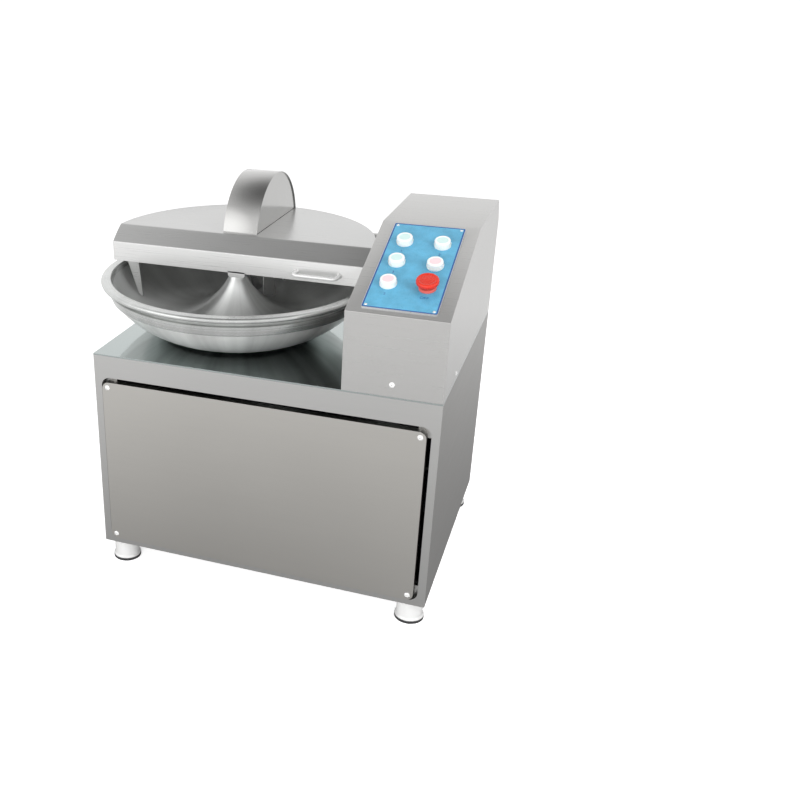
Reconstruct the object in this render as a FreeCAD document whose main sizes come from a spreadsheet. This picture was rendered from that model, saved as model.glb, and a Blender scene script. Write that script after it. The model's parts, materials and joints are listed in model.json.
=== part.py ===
"""Small bowl cutter: a rotating bowl, a hinged half lid with a knife arch, and a control column.

Frame: millimetres, +Z up, front towards -Y, right-hand side towards +X.
The origin is on the floor, under the middle of the machine's outer box.
"""

import FreeCAD, Part
import Sketcher
import math
import os
import re

V = FreeCAD.Vector
X_AXIS = V(1, 0, 0)
Y_AXIS = V(0, 1, 0)
Z_AXIS = V(0, 0, 1)

# Driving sizes, one cell each
SIZES = {
    "cabinet_width": 680.0,
    "cabinet_depth": 533.0,
    "cabinet_height": 425.0,
    "sheet": 2.0,
    "deck_thickness": 3.0,
    "tray_thickness": 3.0,
    "foot_height": 48.0,
    "foot_radius": 25.5,
    "foot_base_radius": 28.5,
    "foot_wall": 2.5,
    "foot_flare_height": 5.0,
    "foot_pad_thickness": 6.0,
    "foot_inset_side": 33.0,
    "foot_inset_front": 32.0,
    "foot_stud_radius": 5.0,
    "foot_stud_length": 7.0,
    "foot_base_edge": 2.0,
    "foot_pad_overhang": 0.5,
    "opening_side_margin": 15.0,
    "opening_bottom_margin": 11.0,
    "opening_top_margin": 48.0,
    "opening_corner": 18.0,
    "panel_gap_left": 2.0,
    "panel_gap_right": 8.0,
    "panel_gap_bottom": 1.0,
    "panel_gap_top": 9.0,
    "panel_corner": 14.0,
    "panel_proud": 3.0,
    "panel_skin": 1.5,
    "panel_screw_inset": 11.0,
    "screw_head_radius": 5.2,
    "screw_head_height": 2.2,
    "screw_shank_radius": 2.5,
    "screw_grip": 6.0,
    "tab_size": 34.0,
    "tab_overlap": 8.0,
    "tab_recess": 12.0,
    "louvre_length": 90.0,
    "louvre_height": 5.0,
    "louvre_pitch": 14.0,
    "louvre_count": 8.0,
    "column_width": 182.4,
    "column_front_height": 149.0,
    "column_height": 244.0,
    "slope_run": 257.5,
    "rear_chamfer_run": 29.0,
    "rear_chamfer_drop": 48.0,
    "column_screw_height": 23.0,
    "column_rear_screw_inset": 26.0,
    "column_flange": 24.0,
    "cover_screw_inset": 12.0,
    "deck_tab_length": 30.0,
    "deck_tab_height": 24.0,
    "front_tab_width": 40.0,
    "front_tab_height": 36.0,
    "plate_width": 133.0,
    "plate_length": 255.0,
    "plate_start": 13.0,
    "plate_thickness": 2.0,
    "plate_corner": 4.0,
    "plate_screw_inset": 7.5,
    "plate_screw_radius": 3.0,
    "plate_screw_height": 1.6,
    "plate_screw_lift": 0.02,
    "button_column": 34.5,
    "button_first_row": 82.0,
    "button_pitch": 63.5,
    "button_bezel_radius": 15.5,
    "button_bezel_height": 4.5,
    "button_barrel_radius": 11.0,
    "button_barrel_depth": 34.0,
    "button_cap_radius": 14.4,
    "button_cap_height": 12.5,
    "button_stem_radius": 5.0,
    "button_stem_length": 16.0,
    "button_stem_play": 0.1,
    "button_barrel_play": 0.3,
    "button_rim_play": 0.4,
    "button_floor": 1.2,
    "button_bezel_edge": 0.5,
    "button_cap_lift": 2.0,
    "button_cap_round": 4.0,
    "button_crown": 1.0,
    "button_travel": 3.0,
    "stop_head_radius": 20.0,
    "stop_head_height": 10.0,
    "stop_head_top": 20.0,
    "stop_stem_radius": 6.0,
    "stop_neck_radius": 3.0,
    "stop_neck_length": 5.0,
    "stop_neck_play": 0.5,
    "stop_stem_depth": 24.0,
    "stop_seat_gap": 0.3,
    "stop_collar_height": 5.0,
    "stop_collar_edge": 2.0,
    "stop_head_chamfer": 3.0,
    "stop_head_round": 5.0,
    "bowl_offset": 127.0,
    "bowl_setback": 231.0,
    "rim_radius": 275.0,
    "rim_height": 111.5,
    "rim_bead": 10.4,
    "rim_inner_radius": 256.0,
    "rim_inner_drop": 3.0,
    "trough_reach": 136.0,
    "trough_height": 168.0,
    "trough_radius": 130.5,
    "dish_wall": 8.0,
    "cone_top_height": 117.0,
    "cone_edge": 6.0,
    "cone_edge_side": 1.0,
    "cone_edge_drop": 2.0,
    "hub_radius": 40.0,
    "hub_bottom": 34.0,
    "band_top_radius": 262.0,
    "band_top_height": 96.0,
    "band_bottom_radius": 255.0,
    "band_bottom_height": 78.0,
    "skirt_step": 3.0,
    "skirt_curve": 203.0,
    "skirt_wall": 4.0,
    "skirt_edge": 3.0,
    "skirt_lap": 1.0,
    "base_ring_radius": 154.0,
    "base_ring_inner": 122.0,
    "base_ring_height": 6.0,
    "spindle_radius": 15.0,
    "spindle_tail_radius": 12.5,
    "spindle_tail_length": 40.0,
    "bowl_bearing_radius": 31.0,
    "bowl_bearing_width": 14.0,
    "bowl_housing_radius": 44.0,
    "bowl_housing_flange": 68.0,
    "bowl_housing_top": 14.0,
    "bowl_housing_drop": 62.0,
    "bowl_housing_floor": 12.0,
    "bowl_flange_thickness": 6.0,
    "bowl_flange_fillet": 2.0,
    "bearing_shoulder": 5.0,
    "bowl_hub_gap": 4.0,
    "spindle_blind": 20.0,
    "spindle_end_gap": 2.0,
    "gearbox_width": 124.0,
    "gearbox_height": 92.0,
    "gearbox_corner": 14.0,
    "gearbox_drop": 8.0,
    "bowl_motor_radius": 52.0,
    "bowl_motor_length": 128.0,
    "bowl_motor_flange": 9.0,
    "bowl_motor_fin": 6.0,
    "bowl_motor_fan": 34.0,
    "running_gap": 0.05,
    "lid_radius": 267.0,
    "lid_shift": 5.0,
    "lid_sheet": 1.5,
    "lid_above_notch": 3.0,
    "lid_bottom": 130.0,
    "lid_crease_ahead": -3.5,
    "lid_front_ahead": 41.0,
    "lid_bevel_drop": 26.0,
    "lid_tab_width": 36.0,
    "lid_tab_drop": 9.0,
    "lid_tab_chamfer": 4.0,
    "lid_tab_overlap": 8.0,
    "lid_tab_offset": 12.0,
    "arch_width": 72.0,
    "arch_radius": 127.5,
    "arch_lip": 2.5,
    "knife_radius": 124.5,
    "knife_thickness": 3.0,
    "knife_pitch": 14.0,
    "knife_hub_radius": 24.0,
    "knife_blade_width": 30.0,
    "knife_bevel": 2.0,
    "knife_hollow": 4.0,
    "knife_hollow_shift": 6.0,
    "spacer_step": 4.0,
    "shaft_end": 4.0,
    "shaft_tail": 2.0,
    "shaft_radius": 12.5,
    "shaft_collar_radius": 19.0,
    "shaft_collar_width": 6.0,
    "knife_nut_radius": 19.0,
    "knife_nut_width": 9.0,
    "nose_radius": 20.0,
    "nose_bore": 14.0,
    "nose_gap": 7.0,
    "nose_hole_play": 0.4,
    "barrel_gap": 3.0,
    "bearing_seat_wall": 8.0,
    "bearing_end_gap": 2.0,
    "pedestal_foot": 116.0,
    "pedestal_cheek": 4.0,
    "pedestal_inset": 12.0,
    "pedestal_window": 60.0,
    "pedestal_floor": 18.0,
    "pedestal_roof": 22.0,
    "nose_flange_radius": 26.0,
    "nose_flange_width": 6.0,
    "bearing_barrel_radius": 38.0,
    "bearing_barrel_length": 92.0,
    "shaft_bearing_radius": 26.0,
    "shaft_bearing_width": 15.0,
    "seal_width": 6.0,
    "seal_radius": 17.0,
    "notch_clearance": 4.0,
    "reach_past": 10.0,
    "chamber_plate_thickness": 1.5,
    "chamber_plate_front": 50.0,
    "bowl_clearance": 3.0,
    "scraper_thickness": 3.0,
    "scraper_out": 232.0,
    "scraper_in": 204.0,
    "scraper_tip": 200.0,
    "scraper_tip_width": 5.0,
    "scraper_low": 48.0,
    "scraper_overlap": 14.0,
    "handle_rod_radius": 3.5,
    "handle_span": 86.0,
    "handle_standoff": 25.0,
    "handle_offset": 179.0,
    "handle_height": 147.0,
    "handle_bend": 9.0,
    "hinge_behind_rim": 10.0,
    "hinge_height": 130.0,
    "hinge_pin_radius": 6.0,
    "hinge_knuckle_radius": 10.0,
    "hinge_arm_span": 90.0,
    "hinge_arm_width": 20.0,
    "hinge_side_gap": 1.0,
    "hinge_bracket_thickness": 6.0,
    "hinge_bracket_depth": 34.0,
    "hinge_bracket_foot": 28.0,
    "hinge_arm_length": 60.0,
    "hinge_arm_rise": 18.0,
    "hinge_pin_end": 3.0,
    "knife_pulley_radius": 45.0,
    "motor_pulley_radius": 60.0,
    "pulley_width": 24.0,
    "belt_width": 17.0,
    "belt_thickness": 9.0,
    "belt_gap": 0.3,
    "belt_side_gap": 0.4,
    "belt_proud": 2.0,
    "belt_slot_width": 30.0,
    "belt_slot_depth": 46.0,
    "pulley_inset": 50.0,
    "motor_radius": 82.0,
    "motor_length": 230.0,
    "motor_axis_height": 100.0,
    "motor_fan_length": 34.0,
    "motor_foot_width": 150.0,
    "motor_shaft_radius": 12.0,
    "motor_shaft_depth": 45.0,
    "motor_shaft_gap": 1.0,
    "motor_face_gap": 16.0,
    "motor_fin": 4.0,
    "motor_cowl": 14.0,
    "motor_cowl_edge": 8.0,
    "motor_end": 16.0,
    "motor_end_step": 10.0,
    "motor_foot_length": 24.0,
    "motor_foot_rise": 30.0,
    "motor_foot_back": 60.0,
    "motor_foot_front": 54.0,
    "terminal_length": 80.0,
    "terminal_width": 60.0,
    "terminal_rise": 26.0,
    "electrical_box_width": 150.0,
    "electrical_box_depth": 80.0,
    "electrical_box_height": 190.0,
    "electrical_box_corner": 6.0,
    "gland_radius": 13.0,
    "gland_reach": 26.0,
    "gland_bore": 5.5,
    "gland_height": 70.0,
}

# Places and lengths that follow from the driving sizes
PLACES = {
    "half_width": "cabinet_width / 2",
    "deck_top": "foot_height + cabinet_height",
    "centre_x": "(half_width + screw_head_height - bowl_offset - rim_radius) / 2",
    "centre_y": "(bowl_setback - rim_radius + cabinet_depth + gland_reach) / 2",
    "opening_width": "cabinet_width - 2 * opening_side_margin",
    "opening_height": "cabinet_height - opening_top_margin - opening_bottom_margin",
    "panel_left": "panel_gap_left - opening_width / 2",
    "panel_right": "opening_width / 2 - panel_gap_right",
    "panel_height": "opening_height - panel_gap_top - panel_gap_bottom",
    "panel_bottom": "opening_bottom_margin + panel_gap_bottom",
    "column_x": "half_width - column_width / 2",
    "column_left": "half_width - column_width",
    "stop_head_base": "stop_head_top - stop_head_height",
    "slope_rise": "column_height - column_front_height",
    "slope_angle": "atan(slope_rise / slope_run)",
    "chamfer_angle": "atan(rear_chamfer_drop / rear_chamfer_run)",
    "shaft_y": "bowl_setback + trough_reach",
    "shaft_z": "deck_top + trough_height",
    "dish_radius": "trough_radius + dish_wall",
    "skirt_top_radius": "band_bottom_radius - skirt_step",
    "arch_inner": "arch_radius - lid_sheet",
    "arch_base": "lid_height - trough_height",
    "hinge_y": "bowl_setback + rim_radius + hinge_behind_rim",
    "hinge_z": "deck_top + hinge_height",
    "hinge_reach": "hinge_y - shaft_y",
    "hinge_rise": "trough_height - hinge_height",
    "notch_middle": "sqrt(hinge_reach ^ 2 + hinge_rise ^ 2)",
    "notch_half": "nose_radius + notch_clearance",
    "lid_height": "trough_height + notch_half + lid_above_notch",
    "nose_start": "chamber_x + chamber_plate_thickness + nose_gap",
    "chamber_x": "arch_width / 2 - bowl_offset",
    "knife_stack": "3 * knife_thickness / 2 + knife_pitch",
    "pulley_x": "half_width - pulley_inset",
    "motor_z": "foot_height + tray_thickness + motor_axis_height",
    "motor_face": "pulley_x - pulley_width / 2 - motor_face_gap",
    "barrel_start": "column_left + sheet + barrel_gap",
    "barrel_end": "barrel_start + bearing_barrel_length",
    "pulley_distance": "shaft_z - motor_z",
    "belt_lean": "asin((motor_pulley_radius - knife_pulley_radius) / pulley_distance)",
    "belt_at_deck": "knife_pulley_radius + belt_thickness / 2"
                    " + (motor_pulley_radius - knife_pulley_radius) * trough_height / pulley_distance",
    "gearbox_top": "deck_top - deck_thickness - bowl_housing_drop",
    "gland_x": "0.3 * cabinet_width",
    "screw_left": "panel_left + panel_screw_inset",
    "screw_right": "panel_right - panel_screw_inset",
    "screw_low": "panel_bottom + panel_screw_inset",
    "screw_high": "panel_bottom + panel_height - panel_screw_inset",
    "cover_height": "column_height - rear_chamfer_drop - 4 * sheet",
}

os.makedirs("parts", exist_ok=True)
doc = FreeCAD.newDocument("BowlCutter")
sheet = doc.addObject("Spreadsheet::Sheet", "Sizes")
for row, (alias, value) in enumerate(SIZES.items(), start=1):
    sheet.set("A%d" % row, alias)
    sheet.set("B%d" % row, str(value))
    sheet.setAlias("B%d" % row, alias)
doc.recompute()

WORD = re.compile(r"[A-Za-z_]\w*")
NODES = []


def full(text):
    """Open up the named places in a formula and point each size at its cell."""
    def swap(match):
        word = match.group(0)
        if word in PLACES:
            return "(" + full(PLACES[word]) + ")"
        if word in SIZES:
            return "Sizes." + word
        return word
    return WORD.sub(swap, str(text))


def num(text):
    """The present value of a formula."""
    return float(sheet.evalExpression(full(text)))


def bind(thing, **formulas):
    """Tie properties of an object to formulas."""
    for name, text in formulas.items():
        thing.setExpression(name, full(text))


def shift(thing, x, y, z):
    """Tie the object's place to three formulas."""
    thing.setExpression("Placement.Base.x", full(x))
    thing.setExpression("Placement.Base.y", full(y))
    thing.setExpression("Placement.Base.z", full(z))


def turn(thing, axis, angle):
    """Turn the object about its own origin."""
    thing.Placement = FreeCAD.Placement(V(0, 0, 0), FreeCAD.Rotation(axis, angle))


def box(length, width, height, x="0", y="0", z="0"):
    """Block with its lowest corner at x, y, z."""
    thing = doc.addObject("Part::Box", "Block")
    bind(thing, Length=length, Width=width, Height=height)
    shift(thing, x, y, z)
    return thing


def rod(radius, length, x="0", y="0", z="0", axis=Z_AXIS):
    """Cylinder that starts at x, y, z and runs along axis."""
    thing = doc.addObject("Part::Cylinder", "Rod")
    bind(thing, Radius=radius, Height=length)
    thing.Placement = FreeCAD.Placement(V(0, 0, 0), FreeCAD.Rotation(Z_AXIS, axis))
    shift(thing, x, y, z)
    return thing


def cone(radius_a, radius_b, length, x="0", y="0", z="0", axis=Z_AXIS):
    """Cone frustum that starts at x, y, z and runs along axis."""
    thing = doc.addObject("Part::Cone", "Taper")
    bind(thing, Radius1=radius_a, Radius2=radius_b, Height=length)
    thing.Placement = FreeCAD.Placement(V(0, 0, 0), FreeCAD.Rotation(Z_AXIS, axis))
    shift(thing, x, y, z)
    return thing


def fuse(*things):
    """One solid from several."""
    thing = doc.addObject("Part::MultiFuse", "Joined")
    thing.Shapes = list(things)
    thing.Refine = True
    return thing


def cut(base, *tools):
    """Take the tools away from the base."""
    thing = doc.addObject("Part::Cut", "Cut")
    thing.Base = base
    thing.Tool = tools[0] if len(tools) == 1 else fuse(*tools)
    return thing


def common(*things):
    """What the solids share."""
    thing = doc.addObject("Part::MultiCommon", "Shared")
    thing.Shapes = list(things)
    return thing


def group(things):
    """Separate solids kept in one node."""
    thing = doc.addObject("Part::Compound", "Group")
    thing.Links = list(things)
    return thing


def node(label, thing, x="0", y="0", z="0"):
    """Name a sub-part and put it in the machine's frame."""
    thing.Label = label
    shift(thing, "(%s) - centre_x" % x, "(%s) - centre_y" % y, z)
    NODES.append(thing)
    return thing


def new_body(name):
    """Empty PartDesign body."""
    return doc.addObject("PartDesign::Body", name)


def new_sketch(body, plane):
    """Sketch on one of the body's own origin planes."""
    outline = body.newObject("Sketcher::SketchObject", "Outline")
    support = [feature for feature in body.Origin.OriginFeatures if feature.Role == plane][0]
    outline.AttachmentSupport = [(support, "")]
    outline.MapMode = "FlatFace"
    return outline


def arc_middle(start, end, radius, side):
    """Middle point of an arc that bulges to the left (side 1) or right (side -1) of its chord."""
    chord = end - start
    normal = V(-chord.y, chord.x, 0) / chord.Length
    sagitta = radius - math.sqrt(radius ** 2 - chord.Length ** 2 / 4)
    return (start + end) * 0.5 + normal * side * sagitta


def tie(outline, name, constraint, text):
    """Add a constraint and tie its value to a formula."""
    index = outline.addConstraint(constraint)
    outline.renameConstraint(index, name)
    outline.setExpression("Constraints." + name, full(text))


def outline_of(body, plane, corners):
    """Closed outline. A corner is (x, y) or, where an arc leaves it, (x, y, radius, side)."""
    outline = new_sketch(body, plane)
    points = [V(num(corner[0]), num(corner[1]), 0) for corner in corners]
    count = len(corners)
    for index, corner in enumerate(corners):
        start = points[index]
        end = points[(index + 1) % count]
        if len(corner) == 2:
            outline.addGeometry(Part.LineSegment(start, end), False)
        else:
            middle = arc_middle(start, end, num(corner[2]), corner[3])
            outline.addGeometry(Part.Arc(start, middle, end), False)
    starts = []
    for index, point in enumerate(points):
        at_one = (outline.getPoint(index, 1) - point).Length < 1e-6
        starts.append(1 if at_one else 2)
    for index, corner in enumerate(corners):
        after = (index + 1) % count
        outline.addConstraint(
            Sketcher.Constraint("Coincident", index, 3 - starts[index], after, starts[after]))
        across = Sketcher.Constraint("DistanceX", -1, 1, index, starts[index], points[index].x)
        along = Sketcher.Constraint("DistanceY", -1, 1, index, starts[index], points[index].y)
        tie(outline, "across%d" % index, across, corner[0])
        tie(outline, "along%d" % index, along, corner[1])
        if len(corner) == 4:
            tie(outline, "radius%d" % index, Sketcher.Constraint("Radius", index, num(corner[2])), corner[2])
    return outline


def rounded_corners(left, bottom, right, top, radius):
    """Corner list of a rectangle with round corners, anticlockwise."""
    return [
        ("(%s) + (%s)" % (left, radius), bottom),
        ("(%s) - (%s)" % (right, radius), bottom, radius, -1),
        (right, "(%s) + (%s)" % (bottom, radius)),
        (right, "(%s) - (%s)" % (top, radius), radius, -1),
        ("(%s) - (%s)" % (right, radius), top),
        ("(%s) + (%s)" % (left, radius), top, radius, -1),
        (left, "(%s) - (%s)" % (top, radius)),
        (left, "(%s) + (%s)" % (bottom, radius), radius, -1),
    ]


def turned(name, corners):
    """Body turned about +Z from an outline of radius and height."""
    body = new_body(name)
    revolve = body.newObject("PartDesign::Revolution", "Turned")
    outline = outline_of(body, "XZ_Plane", corners)
    revolve.Profile = outline
    revolve.ReferenceAxis = (outline, ["V_Axis"])
    revolve.Angle = 360
    body.Tip = revolve
    return body


def padded(name, plane, corners, length, midplane=False, backwards=False):
    """Body padded from an outline."""
    body = new_body(name)
    pad = body.newObject("PartDesign::Pad", "Pad")
    pad.Profile = outline_of(body, plane, corners)
    pad.Midplane = midplane
    pad.Reversed = backwards
    bind(pad, Length=length)
    body.Tip = pad
    return body


def add_pocket(body, plane, corners, length, midplane=False, backwards=False):
    """A pocket in the body, which has to take something away."""
    doc.recompute()
    before = body.Shape.Volume
    pocket = body.newObject("PartDesign::Pocket", "Pocket")
    pocket.Profile = outline_of(body, plane, corners)
    pocket.Midplane = midplane
    pocket.Reversed = backwards
    bind(pocket, Length=length)
    body.Tip = pocket
    doc.recompute()
    if body.Shape.Volume > before - 1e-6:
        raise RuntimeError("The pocket in %s takes nothing away" % body.Name)
    return pocket


def ring(name, inner, outer, height):
    """Plain turned ring that stands on its own base."""
    return turned(name, [(inner, "0"), (outer, "0"), (outer, height), (inner, height)])


def lie_along_x(thing):
    """Turn a piece that was made about +Z so that it lies along +X."""
    turn(thing, Y_AXIS, 90)
    return thing


def lean_with_slope(thing):
    """Turn a piece that was made flat so that it lies on the column's slope."""
    turn(thing, X_AXIS, num("slope_angle"))
    return thing


def slope_node(label, thing, across, along, off="0"):
    """Name a piece that lies on the column's slope: across it, up it and off its surface."""
    lean_with_slope(thing)
    return node(
        label,
        thing,
        "column_x + %s" % across,
        "(%s) * cos(slope_angle) - (%s) * sin(slope_angle)" % (along, off),
        "deck_top + column_front_height + (%s) * sin(slope_angle) + (%s) * cos(slope_angle)" % (along, off),
    )


def dome_screw(radius, height, shank, grip):
    """Low domed screw: its head stands on z = 0 and its shank points down."""
    return turned("Screw", [
        ("0", "-(%s)" % grip),
        (shank, "-(%s)" % grip),
        (shank, "0"),
        (radius, "0"),
        (radius, "(%s) * 0.35" % height),
        ("(%s) * 0.55" % radius, height),
        ("0", height),
    ])


def screw_group(places, radius="screw_head_radius", height="screw_head_height",
                shank="screw_shank_radius", grip="screw_grip"):
    """Screws at (axis, x, y, z), with the head facing along axis."""
    screws = []
    for axis, x, y, z in places:
        screw = dome_screw(radius, height, shank, grip)
        screw.Placement = FreeCAD.Placement(V(0, 0, 0), FreeCAD.Rotation(Z_AXIS, axis))
        shift(screw, x, y, z)
        screws.append(screw)
    return group(screws)


def screw_holes(places, radius="screw_shank_radius + running_gap", depth="screw_grip * 2"):
    """Clearance holes for a screw group."""
    holes = []
    for axis, x, y, z in places:
        hole = rod(radius, depth, axis=axis)
        reach = [component * 0.5 for component in (axis.x, axis.y, axis.z)]
        shift(
            hole,
            "(%s) - %g * (%s)" % (x, reach[0], depth),
            "(%s) - %g * (%s)" % (y, reach[1], depth),
            "(%s) - %g * (%s)" % (z, reach[2], depth),
        )
        holes.append(hole)
    return holes


# Cabinet
FOOT_PLACES = {
    "front_left": ("foot_inset_side - half_width", "foot_inset_front"),
    "front_right": ("half_width - foot_inset_side", "foot_inset_front"),
    "rear_left": ("foot_inset_side - half_width", "cabinet_depth - foot_inset_front"),
    "rear_right": ("half_width - foot_inset_side", "cabinet_depth - foot_inset_front"),
}


def make_tray():
    """Bottom tray that carries the feet and the main motor."""
    plate = box("cabinet_width - 2 * sheet", "cabinet_depth - 2 * sheet", "tray_thickness")
    holes = [
        rod("foot_stud_radius + running_gap", "3 * tray_thickness",
            "(%s) + half_width - sheet" % x, "(%s) - sheet" % y, "-tray_thickness")
        for x, y in FOOT_PLACES.values()
    ]
    node("base_tray", cut(plate, *holes), "sheet - half_width", "sheet", "foot_height")


def make_feet():
    """Four steel cup feet with a flared base, each on a rubber pad."""
    pads = []
    for place, (x, y) in FOOT_PLACES.items():
        foot = turned("Foot", [
            ("0", "foot_height - foot_wall"),
            ("foot_radius - foot_wall", "foot_height - foot_wall"),
            ("foot_radius - foot_wall", "foot_pad_thickness"),
            ("foot_base_radius", "foot_pad_thickness"),
            ("foot_base_radius", "foot_pad_thickness + foot_base_edge"),
            ("foot_radius", "foot_pad_thickness + foot_flare_height"),
            ("foot_radius", "foot_height"),
            ("foot_stud_radius", "foot_height"),
            ("foot_stud_radius", "foot_height + tray_thickness + foot_stud_length"),
            ("0", "foot_height + tray_thickness + foot_stud_length"),
        ])
        node("foot_" + place, foot, x, y, "0")
        pad = rod("foot_base_radius + foot_pad_overhang", "foot_pad_thickness", x, y)
        pads.append(pad)
    node("foot_pads", group(pads))


def make_cabinet():
    """Sides, front frame, back panel and deck of the cabinet, each a flat sheet."""
    wall_height = "cabinet_height - deck_thickness"
    for label, x in (("left_side", "-half_width"), ("right_side", "half_width - sheet")):
        side = box("sheet", "cabinet_depth - 2 * sheet", wall_height)
        node(label, side, x, "sheet", "foot_height")

    frame = padded("FrontFrame", "XZ_Plane", [
        ("-half_width", "0"),
        ("half_width", "0"),
        ("half_width", wall_height),
        ("-half_width", wall_height),
    ], "sheet", backwards=True)
    add_pocket(frame, "XZ_Plane", rounded_corners(
        "-opening_width / 2", "opening_bottom_margin",
        "opening_width / 2", "opening_bottom_margin + opening_height", "opening_corner",
    ), "6 * sheet", midplane=True)
    tabs = []
    edge = "opening_width / 2 + tab_overlap"
    for x, leg_x in (("-(%s)" % edge, "-(%s)" % edge), (edge + " - tab_size", edge + " - sheet")):
        for z in ("tray_thickness", "opening_bottom_margin + opening_height + tab_overlap - tab_size"):
            tabs.append(box("tab_size", "sheet", "tab_size", x, "sheet + tab_recess", z))
            tabs.append(box("sheet", "tab_recess", "tab_size", leg_x, "sheet", z))
    holes = screw_holes(PANEL_SCREWS, depth="4 * (sheet + tab_recess)")
    node("front_frame", cut(fuse(frame, *tabs), *holes), "0", "0", "foot_height")

    back = padded("BackPanel", "XZ_Plane", [
        ("-half_width", "0"),
        ("half_width", "0"),
        ("half_width", wall_height),
        ("-half_width", wall_height),
    ], "sheet", backwards=True)
    slots = [
        box("louvre_length", "3 * sheet", "louvre_height",
            "%s - louvre_length / 2" % x, "-sheet", "cabinet_height * 0.55 + %d * louvre_pitch" % index)
        for x in ("half_width * 0.45", "-half_width * 0.45")
        for index in range(int(num("louvre_count")))
    ]
    gland_hole = rod("gland_radius * 0.7 + running_gap", "4 * sheet", "gland_x", "-sheet", "gland_height",
                     Y_AXIS)
    node("back_panel", cut(back, gland_hole, *slots), "0", "cabinet_depth - sheet", "foot_height")

    deck = box("cabinet_width", "cabinet_depth", "deck_thickness")
    spindle_hole = rod("bowl_housing_radius + running_gap", "3 * deck_thickness",
                       "half_width - bowl_offset", "bowl_setback", "-deck_thickness")
    slots = [
        box("belt_slot_width", "belt_slot_depth", "3 * deck_thickness",
            "half_width + pulley_x - belt_slot_width / 2",
            "shaft_y + (%s) - belt_slot_depth / 2" % side, "-deck_thickness")
        for side in ("belt_at_deck", "-belt_at_deck")
    ]
    tabs = [
        box("sheet", "deck_tab_length", "deck_tab_height", "cabinet_width - 2 * sheet",
            "(%s) - deck_tab_length / 2" % y, "deck_thickness")
        for _, _, y, _ in COLUMN_SIDE_SCREWS
    ]
    tabs.append(box("front_tab_width", "sheet", "front_tab_height",
                    "half_width + column_x - front_tab_width / 2", "sheet", "deck_thickness"))
    holes = screw_holes([
        (axis, "(%s) + half_width + column_x" % x, y, "(%s) + deck_thickness" % z)
        for axis, x, y, z in [COLUMN_FRONT_SCREW] + COLUMN_SIDE_SCREWS
    ])
    node("deck_plate", cut(fuse(deck, *tabs), spindle_hole, *slots, *holes),
         "-half_width", "0", "deck_top - deck_thickness")


PANEL_SCREWS = [
    (-Y_AXIS, x, "-panel_proud", z)
    for x in ("screw_left", "screw_right")
    for z in ("screw_low", "screw_high")
]


def make_front_panel():
    """Folded pan, screwed to the recessed tabs behind the opening."""
    panel = padded("FrontPanel", "XZ_Plane", rounded_corners(
        "panel_left", "panel_bottom", "panel_right", "panel_bottom + panel_height", "panel_corner",
    ), "panel_proud + sheet + tab_recess")
    add_pocket(panel, "XZ_Plane", rounded_corners(
        "panel_left + panel_skin", "panel_bottom + panel_skin",
        "panel_right - panel_skin", "panel_bottom + panel_height - panel_skin",
        "panel_corner - panel_skin",
    ), "2 * (panel_proud + sheet + tab_recess - panel_skin)", midplane=True)
    holes = screw_holes([(-Y_AXIS, x, "-panel_proud - sheet - tab_recess", z) for _, x, _, z in PANEL_SCREWS])
    node("front_panel", cut(panel, *holes), "0", "sheet + tab_recess", "foot_height")
    screws = screw_group(PANEL_SCREWS, grip="panel_proud + 2 * sheet + tab_recess + screw_grip / 2")
    node("panel_screws", screws, "0", "0", "foot_height")


# Control column
def make_column():
    """Folded housing with the sloped control face, its rear cover and its screws."""
    housing = padded("ColumnHousing", "YZ_Plane", [
        ("0", "0"),
        ("cabinet_depth", "0"),
        ("cabinet_depth", "column_height - rear_chamfer_drop"),
        ("cabinet_depth - rear_chamfer_run", "column_height"),
        ("slope_run", "column_height"),
        ("0", "column_front_height"),
    ], "column_width", midplane=True)
    add_pocket(housing, "YZ_Plane", [
        ("sheet", "-1"),
        ("cabinet_depth + 1", "-1"),
        ("cabinet_depth + 1", "column_height - rear_chamfer_drop - sheet / cos(chamfer_angle)"
                              " - tan(chamfer_angle)"),
        ("cabinet_depth - rear_chamfer_run - sheet * tan(chamfer_angle / 2)", "column_height - sheet"),
        ("slope_run + sheet * tan(slope_angle / 2)", "column_height - sheet"),
        ("sheet", "column_front_height - sheet * tan((90 deg - slope_angle) / 2)"),
    ], "column_width - 2 * sheet", midplane=True)
    holes = []
    for across, along in BUTTON_PLACES + [STOP_PLACE]:
        hole = rod("button_barrel_radius + button_barrel_play", "6 * sheet")
        lean_with_slope(hole)
        shift(
            hole,
            across,
            "(%s) * cos(slope_angle) + 3 * sheet * sin(slope_angle)" % along,
            "column_front_height + (%s) * sin(slope_angle) - 3 * sheet * cos(slope_angle)" % along,
        )
        holes.append(hole)
    nose_hole = rod("nose_radius + nose_hole_play", "6 * sheet", "-column_width / 2 - 3 * sheet",
                    "shaft_y", "trough_height", X_AXIS)
    holes.append(nose_hole)
    holes += screw_holes([COLUMN_FRONT_SCREW] + COLUMN_SIDE_SCREWS)
    rear = [(Y_AXIS, "(%s) + sheet - column_width / 2" % x, "cabinet_depth", z) for x, z in COVER_SCREWS]
    holes += screw_holes(rear)
    flanges = [
        box("column_flange", "sheet", "cover_height", x, "cabinet_depth - 2 * sheet", "0")
        for x in ("sheet - column_width / 2", "column_width / 2 - sheet - column_flange")
    ]
    node("column_housing", cut(fuse(housing, *flanges), *holes), "column_x", "0", "deck_top")

    cover = box("column_width - 2 * sheet", "sheet", "cover_height")
    cover_holes = screw_holes([(Y_AXIS, x, "sheet", z) for x, z in COVER_SCREWS])
    node("column_rear_cover", cut(cover, *cover_holes), "column_left + sheet", "cabinet_depth - sheet",
         "deck_top")
    node("column_screws", screw_group([COLUMN_FRONT_SCREW] + COLUMN_SIDE_SCREWS + rear),
         "column_x", "0", "deck_top")


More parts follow.
